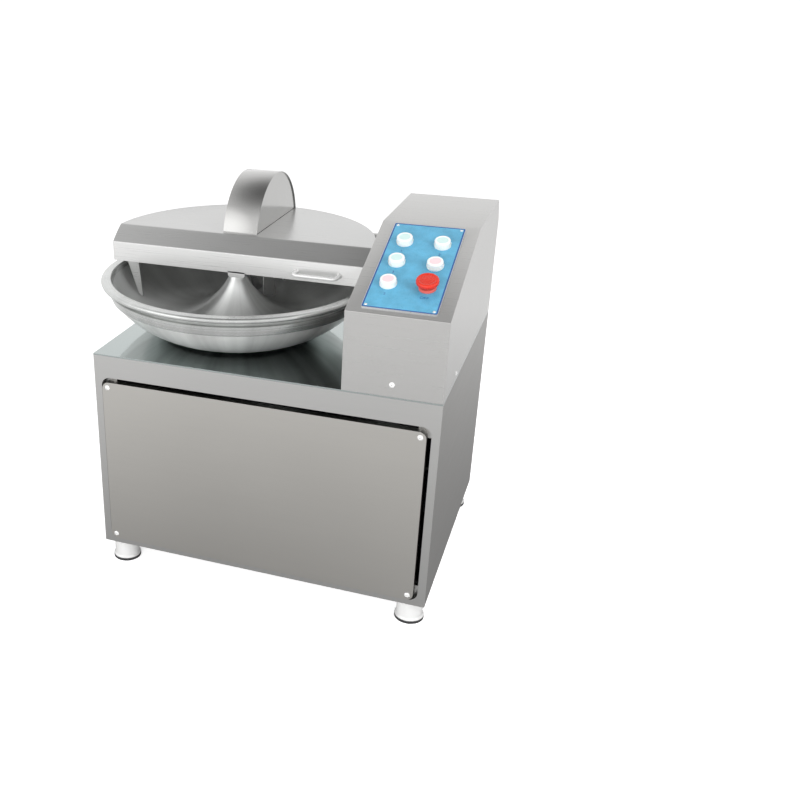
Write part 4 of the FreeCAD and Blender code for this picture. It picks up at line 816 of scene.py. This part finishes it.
class CHOPPER_OT_screws(bpy.types.Operator):
    """Makes the domed screws of the front panel, the column and the control plate"""

    bl_idname = "chopper.screws"
    bl_label = "Screws"

    def execute(self, context):
        heads = {"panel": bmesh.new(), "column": bmesh.new(), "plate": bmesh.new()}
        for low, high in islands("panel_screws"):
            place = (low + high) / 2
            place.y = low.y + LARGE_SCREW[1]
            dome_screw(heads["panel"], place, -BACK, *LARGE_SCREW)
        for low, high in islands("column_screws"):
            place = (low + high) / 2
            if high.x > COLUMN_HIGH.x:
                place.x, facing = COLUMN_HIGH.x, RIGHT
            elif low.y < COLUMN_LOW.y:
                place.y, facing = COLUMN_LOW.y, -BACK
            else:
                place.y, facing = COLUMN_HIGH.y, BACK
            dome_screw(heads["column"], place, facing, *LARGE_SCREW)
        facing = UP * math.cos(SLOPE) - BACK * math.sin(SLOPE)
        for low, high in islands("control_plate_screws"):
            place = (low + high) / 2 - facing * PLATE_SCREW_SUNK
            dome_screw(heads["plate"], place, facing, *PLATE_SCREW)
        nodes = {"panel": "panel_screws", "column": "column_screws", "plate": "control_plate_screws"}
        for kind, bm in heads.items():
            make_piece(bm, kind + "_screw_heads", [polished_steel()], nodes[kind])
        return {"FINISHED"}


# Column and controls
PLATE_TOP = 2.0 * MM
BUTTON_ACROSS = 34.5 * MM
HIGH_ROW = 209.0 * MM
MIDDLE_ROW = 145.5 * MM
LOW_ROW = 82.0 * MM
MARK_DROP = 30.5 * MM
MARK_SIZE = 9 * MM
MARK_DEPTH = 0.04 * MM
MARK_LIFT = 0.05 * MM
BARREL_END = -34 * MM
BARREL_RADIUS = 11 * MM

# Places across and along the slope, and the caps' tints in the same order
BUTTONS = [(-BUTTON_ACROSS, HIGH_ROW), (BUTTON_ACROSS, HIGH_ROW), (-BUTTON_ACROSS, MIDDLE_ROW),
           (BUTTON_ACROSS, MIDDLE_ROW), (-BUTTON_ACROSS, LOW_ROW)]
BUTTON_TINTS = [green_tint, green_tint, green_tint, pink_tint, pink_tint]
STOP = (BUTTON_ACROSS, LOW_ROW)


def on_slope(bm, across, along, level):
    """Moves a bmesh made flat at the origin to its place on the column's slope."""
    turn = Matrix.Rotation(SLOPE, 4, "X")
    place = Matrix.Translation(SLOPE_FOOT) @ turn @ Matrix.Translation((across, along, level))
    bmesh.ops.transform(bm, matrix=place, verts=bm.verts)


class CHOPPER_OT_column(bpy.types.Operator):
    """Finishes the folded column housing and its rear cover"""

    bl_idname = "chopper.column"
    bl_label = "Column"

    def execute(self, context):
        dressed("column_housing", column_steel(), sizes().fold_radius, 3, shortest=60 * MM)
        dressed("column_rear_cover", column_steel(), 0.4 * MM)
        return {"FINISHED"}


def make_marks():
    """Plain numbers and OFF under the buttons, as thin raised print."""
    marks = [(str(index + 1), place) for index, place in enumerate(BUTTONS)]
    marks.append(("OFF", STOP))
    bm = bmesh.new()
    for text, (across, along) in marks:
        curve = bpy.data.curves.new("mark", "FONT")
        curve.body = text
        curve.size = MARK_SIZE
        curve.align_x = "CENTER"
        curve.extrude = MARK_DEPTH
        holder = bpy.data.objects.new("mark", curve)
        bpy.context.scene.collection.objects.link(holder)
        bpy.context.view_layer.update()
        mesh = bpy.data.meshes.new_from_object(holder)
        part = bmesh.new()
        part.from_mesh(mesh)
        on_slope(part, across, along - MARK_DROP, PLATE_TOP + MARK_LIFT)
        merge_into(bm, part)
        bpy.data.objects.remove(holder)
        bpy.data.curves.remove(curve)
        bpy.data.meshes.remove(mesh)
    make_piece(bm, "control_marks", [print_ink()], "control_plate", replaces=False)


class CHOPPER_OT_control_plate(bpy.types.Operator):
    """Makes the printed control plate with its border and plain numbers"""

    bl_idname = "chopper.control_plate"
    bl_label = "Control plate"

    def execute(self, context):
        half, low, high, corner = 66.5 * MM, 13 * MM, 268 * MM, 4 * MM
        trim, line = 1.2 * MM, 2.6 * MM
        bm = bmesh.new()
        face = flat_face(bm, [(-half, low, 0), (half, low, 0), (half, high, 0), (-half, high, 0)])
        bevel(bm, list(face.verts), corner, "VERTICES", 5)
        raise_face(bm, list(bm.faces), (0, 0, PLATE_TOP))
        top = highest_face(bm)
        bmesh.ops.inset_individual(bm, faces=[top], thickness=trim, depth=0)
        bmesh.ops.inset_individual(bm, faces=[top], thickness=line, depth=0)
        border = {face for edge in top.edges for face in edge.link_faces} - {top}
        for face in bm.faces:
            face.material_index = 1 if face in border else 0
        top.material_index = 2
        on_slope(bm, 0, 0, 0)
        finishes = [plate_trim(), plate_line(), plate_field()]
        make_piece(bm, "control_plate_printed", finishes, "control_plate")
        make_marks()
        return {"FINISHED"}


def make_collars():
    outer, inner, bore = 15.5 * MM, 14.8 * MM, 5.1 * MM
    top, floor, edge = 4.4 * MM, 0.5 * MM, 0.3 * MM
    profile = [(BARREL_RADIUS, BARREL_END), (BARREL_RADIUS, 0), (outer - 0.4 * MM, 0)]
    profile += arc((outer - edge, 4.2 * MM), edge, 0, 90, 4)
    profile += [(inner, top), (inner, floor), (bore, floor), (bore, BARREL_END)]
    bm = bmesh.new()
    for place in BUTTONS:
        part = turned(profile, ORIGIN, 64)
        on_slope(part, *place, PLATE_TOP)
        merge_into(bm, part)
    make_piece(bm, "button_collars", [boot_white()], "push_button_bodies")


def make_cap(index, place):
    """Boot of a push button, with a tinted dish in its top."""
    radius, top, base, crown = sizes().button_radius, 13.2 * MM, 3.7 * MM, 2.6 * MM
    stem, stem_end, dish = 5 * MM, -11 * MM, 10.1 * MM
    profile = [(0, stem_end), (stem, stem_end), (stem, base), (radius, base)]
    profile += arc((radius - crown, top - 3.0 * MM), crown, 0, 80, 8)
    profile += [(dish + 0.5 * MM, top - 0.35 * MM), (dish, top - 1.1 * MM), (0, top - 0.9 * MM)]
    bm = turned(profile, ORIGIN, 64, closed=False)
    for face in bm.faces:
        centre = face.calc_center_median()
        in_dish = math.hypot(centre.x, centre.y) < dish + 0.1 * MM and centre.z > top - 2 * MM
        face.material_index = 1 if in_dish else 0
    on_slope(bm, *place, PLATE_TOP)
    node = "button_cap_" + str(index + 1)
    make_piece(bm, node + "_moulded", [boot_white(), BUTTON_TINTS[index]()], node)


def make_stop():
    """Collar, stem and mushroom head of the stop button."""
    collar, bore, collar_top, edge = 15.5 * MM, 6.1 * MM, 5 * MM, 1.5 * MM
    body = [(bore, BARREL_END), (BARREL_RADIUS, BARREL_END), (BARREL_RADIUS, 0), (collar, 0)]
    body += arc((collar - edge, collar_top - edge), edge, 0, 90, 5)
    body += [(bore, collar_top)]

    stem, stem_end, neck, step, stem_top = 6 * MM, -24 * MM, 3 * MM, 9.7 * MM, 14.7 * MM
    shaft = [(0, stem_end), (stem, stem_end), (stem, step), (neck, step), (neck, stem_top), (0, stem_top)]

    radius, top, base, crown = sizes().stop_radius, 20 * MM, 10 * MM, 3.6 * MM
    socket, socket_top = 3.05 * MM, 15.2 * MM
    head = [(socket, base), (radius - 3 * MM, base), (radius - 0.3 * MM, 12.4 * MM), (radius, 13.6 * MM)]
    head += arc((radius - crown, top - 3.8 * MM), crown, 0, 80, 8)
    head += [(14.2 * MM, top - 0.6 * MM), (13.4 * MM, top - 1.5 * MM), (6 * MM, top - 1.0 * MM)]
    head += [(0, top - 0.8 * MM), (0, socket_top), (socket, socket_top)]

    # Outline, steps round it, whether it closes on itself, finish and sharpness of each piece
    pieces = {
        "body": (body, 64, True, stop_collar(), 40),
        "stem": (shaft, 48, False, stop_grey(), 32),
        "head": (head, 72, True, stop_red(), 50),
    }
    for name, (profile, steps, closed, finish, sharp) in pieces.items():
        bm = turned(profile, ORIGIN, steps, closed)
        on_slope(bm, *STOP, PLATE_TOP)
        make_piece(bm, "stop_" + name + "_moulded", [finish], "stop_button_" + name, sharp)


class CHOPPER_OT_buttons(bpy.types.Operator):
    """Makes the five booted push buttons and the mushroom stop button"""

    bl_idname = "chopper.buttons"
    bl_label = "Buttons"

    def execute(self, context):
        make_collars()
        for index, place in enumerate(BUTTONS):
            make_cap(index, place)
        make_stop()
        return {"FINISHED"}


# Bowl
def make_bowl(centre):
    """Bowl turned round the knives' circle, from its bore out over the rim and in to the cone."""
    reach, level = sizes().trough_reach, 168 * MM
    inside = sizes().trough_radius
    outside = inside + sizes().bowl_wall
    bore, bore_top, hub, hub_end = 15.05 * MM, 97 * MM, 40 * MM, 34 * MM
    wall_end, rim_step, lip, lip_radius = 95 * MM, 1 * MM, 1.5 * MM, 256.5 * MM
    bead, rim_inside = 10.4 * MM, 250 * MM
    neck, cone_top = 111 * MM, 117 * MM

    def angle_at(radius, height):
        """Angle about the trough's middle, on the outer side, at a height."""
        return -math.degrees(math.asin((level - height) / radius))

    hub_angle = -180 + math.degrees(math.acos((reach - hub) / outside))
    profile = [(0, bore_top), (bore, bore_top), (bore, hub_end), (hub, hub_end)]
    profile += arc((reach, level), outside, hub_angle, angle_at(outside, wall_end), 40)
    profile += [(RIM_RADIUS - bead - rim_step, RIM_TOP - bead)]
    profile += arc((RIM_RADIUS - bead / 2, RIM_TOP - bead / 2), bead / 2, -90, 90, 12)
    profile += arc((lip_radius, RIM_TOP - lip), lip, 90, 150, 4)
    profile += arc((reach, level), inside, angle_at(inside, RIM_TOP - 4 * MM), -90, 40)
    profile += arc((reach, level), inside, -90, -180 - angle_at(inside, neck), 44)[1:]
    profile += [(18.2 * MM, neck + 2 * MM), (17.2 * MM, cone_top - 2 * MM), (14 * MM, cone_top - 0.5 * MM)]
    profile += [(9 * MM, cone_top), (0, cone_top)]
    bm = turned(profile, centre, 192, closed=False)
    for face in bm.faces:
        place = face.calc_center_median() - centre
        on_rim = place.z > RIM_TOP - bead and math.hypot(place.x, place.y) > rim_inside
        face.material_index = 1 if on_rim else 0
    make_piece(bm, "bowl_turned", [bowl_steel(), rim_steel()], "bowl", sharp=40)


def make_skirt(centre):
    """Bulged outer shell under the bowl, from its flat base up to the band below the rim."""
    curve, wall, bore, flat = 203 * MM, 4 * MM, 122 * MM, 150 * MM
    low, high = Vector((154, 6)) * MM, Vector((252, 76)) * MM
    band, band_low, band_top, band_inside = 261.6 * MM, 94.6 * MM, 96 * MM, 255 * MM
    chord = high - low
    across = Vector((-chord.y, chord.x)).normalized()
    bulge = (low + high) / 2 + across * math.sqrt(curve ** 2 - chord.length_squared / 4)

    def angle_of(point):
        return math.degrees(math.atan2(point.y - bulge.y, point.x - bulge.x))

    profile = [(bore, low.y), (flat, low.y)]
    profile += arc(bulge, curve, angle_of(low), angle_of(high), 28)
    profile += [(252.6 * MM, 76.2 * MM), (band_inside, 78 * MM), (255.3 * MM, 79 * MM)]
    profile += [(band, band_low), (band, band_low + 1 * MM), (261 * MM, band_top)]
    profile += [(band_inside, band_top), (254 * MM, band_top - 2 * MM)]
    profile += arc(bulge, curve - wall, angle_of(high), angle_of(low), 20)
    profile += [(flat, low.y + wall), (bore, low.y + wall)]
    bm = turned(profile, centre, 192)
    for face in bm.faces:
        face.material_index = 1 if face.calc_center_median().z > DECK + high.y else 0
    make_piece(bm, "bowl_skirt_turned", [skirt_steel(), rim_steel()], "bowl_skirt", sharp=30)


class CHOPPER_OT_bowl(bpy.types.Operator):
    """Turns the bowl with its cone, and its skirt"""

    bl_idname = "chopper.bowl"
    bl_label = "Bowl"

    def execute(self, context):
        centre = Vector((BOWL_AXIS.x, BOWL_AXIS.y, DECK))
        make_bowl(centre)
        make_skirt(centre)
        repaint(ground_steel(), "bowl_spindle")
        return {"FINISHED"}


# Lid
def slice_off(bm, point, normal):
    """Cuts away what lies beyond a plane and closes the cut."""
    geom = list(bm.verts) + list(bm.edges) + list(bm.faces)
    result = bmesh.ops.bisect_plane(
        bm, geom=geom, dist=CUT, plane_co=point, plane_no=normal, clear_outer=True)
    edges = [item for item in result["geom_cut"] if isinstance(item, bmesh.types.BMEdge)]
    bmesh.ops.edgeloop_fill(bm, edges=edges)
    bmesh.ops.recalc_face_normals(bm, faces=bm.faces)


def cut_slot(bm):
    """Opens the lid's top over the knives."""
    half, reach = 34.5 * MM, 123.07 * MM
    near, far = SHAFT.y - reach, SHAFT.y + reach
    planes = [
        (RIGHT * (BOWL_AXIS.x - half), RIGHT), (RIGHT * (BOWL_AXIS.x + half), RIGHT),
        (BACK * near, BACK), (BACK * far, BACK),
    ]
    for point, normal in planes:
        cut_plane(bm, top_faces(bm), point, normal)
    inside = []
    for face in top_faces(bm):
        place = face.calc_center_median()
        if abs(place.x - BOWL_AXIS.x) < half and near < place.y < far:
            inside.append(face)
    bmesh.ops.delete(bm, geom=inside, context="FACES")


def top_faces(bm):
    return [face for face in bm.faces if abs(face.normal.z) > 0.999]


def cut_notch(bm):
    """Opens the lid's skirt for the bearing nose, with the notch's upper corners cut off."""
    low, high, corner = DECK + 120 * MM, DECK + 191.5 * MM, 16 * MM
    near, far = SHAFT.y - 29 * MM, SHAFT.y + 24 * MM
    start = high - corner
    planes = [
        (BACK * near, BACK), (BACK * far, BACK), (UP * high, UP),
        (BACK * near + UP * start, UP - BACK), (BACK * far + UP * start, UP + BACK),
    ]
    for point, normal in planes:
        cut_plane(bm, skirt_faces(bm), point, normal)
    inside = []
    for face in skirt_faces(bm):
        place = face.calc_center_median()
        within = low < place.z < high and near < place.y < far
        if within and place.z - start <= min(place.y - near, far - place.y):
            inside.append(face)
    bmesh.ops.delete(bm, geom=inside, context="FACES")


def skirt_faces(bm):
    """Upright faces on the right, towards the back."""
    right, back = BOWL_AXIS.x + 150 * MM, BOWL_AXIS.y + 40 * MM
    found = []
    for face in bm.faces:
        place = face.calc_center_median()
        if abs(face.normal.z) < 0.5 and place.x > right and place.y > back:
            found.append(face)
    return found


def add_tab(bm, front, bottom):
    """Rounded tab that hangs from the lid's flange above the cone."""
    middle_x, half, drop, overlap = BOWL_AXIS.x + 12 * MM, 18 * MM, 9 * MM, 3 * MM
    left, right = middle_x - half, middle_x + half
    part = bmesh.new()
    face = flat_face(part, [
        (left, front, bottom + overlap), (left, front, bottom - drop),
        (right, front, bottom - drop), (right, front, bottom + overlap)])
    low = [vert for vert in face.verts if vert.co.z < bottom]
    bevel(part, low, 6 * MM, "VERTICES", 5)
    raise_face(part, list(part.faces), (0, sizes().sheet, 0))
    bevel(part, sharp_edges(part, 50), 0.3 * MM, "EDGES", 2)
    merge_into(bm, part)


class CHOPPER_OT_lid(bpy.types.Operator):
    """Folds the half lid, with its slot, notch and tab"""

    bl_idname = "chopper.lid"
    bl_label = "Lid"

    def execute(self, context):
        top, bottom = LID_HIGH.z, DECK + 130 * MM
        radius = (LID_HIGH.x - LID_LOW.x) / 2
        front, crease = LID_LOW.y, BOWL_AXIS.y + 3.5 * MM
        shoulder, bend = top - 26 * MM, 2.4 * MM
        centre = Vector(((LID_LOW.x + LID_HIGH.x) / 2, BOWL_AXIS.y, (top + bottom) / 2))
        bm = bmesh.new()
        bmesh.ops.create_cone(
            bm, cap_ends=True, segments=256, radius1=radius, radius2=radius, depth=top - bottom)
        bmesh.ops.translate(bm, vec=centre, verts=bm.verts)
        slice_off(bm, BACK * front, -BACK)
        slice_off(bm, BACK * crease + UP * top, BACK * (shoulder - top) + UP * (crease - front))
        under = [face for face in bm.faces if face.normal.z < -0.9]
        bmesh.ops.delete(bm, geom=under, context="FACES_ONLY")
        bevel(bm, sharp_edges(bm, 14), bend, "EDGES", 4)
        cut_slot(bm)
        cut_notch(bm)
        face_up(bm)
        bmesh.ops.solidify(bm, geom=list(bm.faces), thickness=sizes().sheet)
        add_tab(bm, front, bottom)
        # Faces that look to the front get painted light, a lighter copy of the lid's steel
        for face in bm.faces:
            face.material_index = 1 if face.normal.y < -0.95 else 0
        make_piece(bm, "lid_folded", [lid_steel(), flange_painted_light_steel()], "lid", sharp=24)
        return {"FINISHED"}


def arch_outline(radius, steps):
    """Arc about the knife shaft that stands on the lid's top."""
    start = math.degrees(math.asin((LID_HIGH.z - SHAFT.z) / radius))
    return arc((SHAFT.y, SHAFT.z), radius, start, 180 - start, steps)


class CHOPPER_OT_arch(bpy.types.Operator):
    """Bends the knife arch's band and sets its two cheeks in"""

    bl_idname = "chopper.arch"
    bl_label = "Knife arch"

    def execute(self, context):
        radius, inset, lip, sheet = 127.5 * MM, 1.0 * MM, 2.5 * MM, sizes().sheet
        left, right = ARCH_LOW.x, ARCH_HIGH.x
        bm = bmesh.new()
        verts = [bm.verts.new((left, y, z)) for y, z in arch_outline(radius, 72)]
        edges = [bm.edges.new(pair) for pair in zip(verts, verts[1:])]
        moved = new_verts(bmesh.ops.extrude_edge_only(bm, edges=edges))
        bmesh.ops.translate(bm, vec=RIGHT * (right - left), verts=moved)
        face_up(bm)
        bmesh.ops.solidify(bm, geom=list(bm.faces), thickness=sheet)
        bmesh.ops.recalc_face_normals(bm, faces=bm.faces)
        bevel(bm, sharp_edges(bm, 60), 0.4 * MM, "EDGES", 2)
        for x in (left + lip, right - lip - sheet):
            cheek = bmesh.new()
            flat_face(cheek, [(x, y, z) for y, z in arch_outline(radius - inset, 64)])
            raise_face(cheek, list(cheek.faces), RIGHT * sheet)
            merge_into(bm, cheek)
        make_piece(bm, "knife_arch_bent", [arch_steel()], "knife_arch", sharp=30)
        return {"FINISHED"}


def lay_back(bm, verts, place):
    """Turns what was made upright to point to the front, and puts it in place."""
    bmesh.ops.rotate(bm, cent=ORIGIN, matrix=Matrix.Rotation(math.radians(90), 3, "X"), verts=verts)
    bmesh.ops.translate(bm, vec=place, verts=verts)


def run_rod(bm, edges, offset):
    """Straight length of rod from a ring of edges."""
    result = bmesh.ops.extrude_edge_only(bm, edges=edges)
    verts = new_verts(result)
    bmesh.ops.translate(bm, vec=offset, verts=verts)
    return [item for item in result["geom"] if isinstance(item, bmesh.types.BMEdge)
            and all(vert in verts for vert in item.verts)]


def bend_rod(bm, edges, centre):
    """Quarter bend of the rod from a ring of edges."""
    verts = list(dict.fromkeys(vert for edge in edges for vert in edge.verts))
    result = bmesh.ops.spin(
        bm, geom=verts + edges, cent=centre, axis=UP, dvec=ORIGIN,
        angle=math.radians(90), steps=10, use_merge=False, use_normal_flip=False, use_duplicate=False)
    return [item for item in result["geom_last"] if isinstance(item, bmesh.types.BMEdge)]


def add_weld(bm, x, root, level, rod):
    width, depth = 2.2 * MM, 2.4 * MM
    bead = bmesh.ops.create_cone(
        bm, cap_ends=True, segments=24, radius1=rod + width, radius2=rod + 0.1 * MM, depth=depth)
    lay_back(bm, bead["verts"], (x, root - depth / 2, level))


class CHOPPER_OT_handle(bpy.types.Operator):
    """Bends the lid handle from one rod and adds its weld beads"""

    bl_idname = "chopper.handle"
    bl_label = "Handle"

    def execute(self, context):
        low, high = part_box("lid_handle")
        rod, bend = sizes().handle_rod, 9 * MM
        level = (low.z + high.z) / 2
        left, right = low.x + rod, high.x - rod
        root, bar = high.y, low.y + rod
        bm = bmesh.new()
        ring = bmesh.ops.create_circle(bm, cap_ends=False, segments=24, radius=rod)["verts"]
        lay_back(bm, ring, (left, root, level))
        edges = run_rod(bm, list(bm.edges), BACK * (bar + bend - root))
        edges = bend_rod(bm, edges, (left + bend, bar + bend, level))
        edges = run_rod(bm, edges, RIGHT * (right - left - 2 * bend))
        edges = bend_rod(bm, edges, (right - bend, bar + bend, level))
        run_rod(bm, edges, BACK * (root - bar - bend))
        bmesh.ops.remove_doubles(bm, verts=bm.verts, dist=MERGE)
        bmesh.ops.holes_fill(bm, edges=[edge for edge in bm.edges if len(edge.link_faces) == 1], sides=30)
        bmesh.ops.recalc_face_normals(bm, faces=bm.faces)
        for x in (left, right):
            add_weld(bm, x, root, level, rod)
        make_piece(bm, "lid_handle_bent", [bright_steel()], "lid_handle", sharp=40)
        return {"FINISHED"}


# Mechanism

# Each node that gets rounded edges, with its finish, the width of the rounding and its segments
ROUNDED = [
    ("knife_1", blade_steel, 0.15, 1),
    ("knife_2", blade_steel, 0.15, 1),
    ("knife_3", blade_steel, 0.15, 1),
    ("shaft_bearing_housing", satin_steel, 0.6, 2),
    ("chamber_plate", bright_steel, 0.2, 1),
    ("scraper", lid_steel, 0.4, 2),
    ("lid_hinge_arms", satin_steel, 0.8, 2),
    ("hinge_bracket_left", satin_steel, 0.6, 2),
    ("hinge_bracket_right", satin_steel, 0.6, 2),
    ("hinge_pin", bright_steel, 0.8, 2),
    ("cord_gland", case_plastic, 0.5, 2),
    ("bowl_bearing_housing", satin_steel, 0.6, 2),
    ("knife_nut", satin_steel, 0.5, 2),
    ("main_motor", motor_paint, 1.0, 2),
    ("bowl_gearbox", motor_paint, 1.0, 2),
    ("bowl_motor", motor_paint, 1.0, 2),
]


class CHOPPER_OT_mechanism(bpy.types.Operator):
    """Finishes the knives, the bearing nose, the hinge, the drives and the electrics"""

    bl_idname = "chopper.mechanism"
    bl_label = "Mechanism"

    def execute(self, context):
        for node, finish, width, segments in ROUNDED:
            dressed(node, finish(), width * MM, segments)
        repaint(ground_steel(), "knife_shaft", "knife_spacers", "motor_shaft")
        repaint(ground_steel(), "shaft_bearings", "bowl_bearings")
        repaint(cast_iron(), "knife_pulley", "motor_pulley", "bearing_pedestal")
        repaint(black_rubber(), "drive_belt", "shaft_seal")
        repaint(case_plastic(), "electrical_box")
        return {"FINISHED"}


class CHOPPER_PT_panel(bpy.types.Panel):
    """Lists the machine's sizes, colours and building steps"""

    bl_idname = "CHOPPER_PT_panel"
    bl_label = "Bowl chopper"
    bl_space_type = "VIEW_3D"
    bl_region_type = "UI"
    bl_category = "Chopper"

    def draw(self, context):
        for group in (context.scene.chopper_sizes, context.scene.chopper_colours):
            for name in group.bl_rna.properties.keys():
                if name not in ("rna_type", "name"):
                    self.layout.prop(group, name)
        for operator in OPERATORS:
            self.layout.operator(operator.bl_idname)


OPERATORS = (
    CHOPPER_OT_stage,
    CHOPPER_OT_cabinet,
    CHOPPER_OT_feet,
    CHOPPER_OT_column,
    CHOPPER_OT_control_plate,
    CHOPPER_OT_buttons,
    CHOPPER_OT_screws,
    CHOPPER_OT_bowl,
    CHOPPER_OT_lid,
    CHOPPER_OT_arch,
    CHOPPER_OT_handle,
    CHOPPER_OT_mechanism,
)
CLASSES = (ChopperSizes, ChopperColours) + OPERATORS + (CHOPPER_PT_panel,)


def register():
    for item in CLASSES:
        bpy.utils.register_class(item)
    bpy.types.Scene.chopper_sizes = bpy.props.PointerProperty(type=ChopperSizes)
    bpy.types.Scene.chopper_colours = bpy.props.PointerProperty(type=ChopperColours)


def unregister():
    del bpy.types.Scene.chopper_colours
    del bpy.types.Scene.chopper_sizes
    for item in reversed(CLASSES):
        bpy.utils.unregister_class(item)


def main():
    register()
    for operator in OPERATORS:
        family, name = operator.bl_idname.split(".")
        getattr(getattr(bpy.ops, family), name)()


if __name__ == "__main__":
    main()
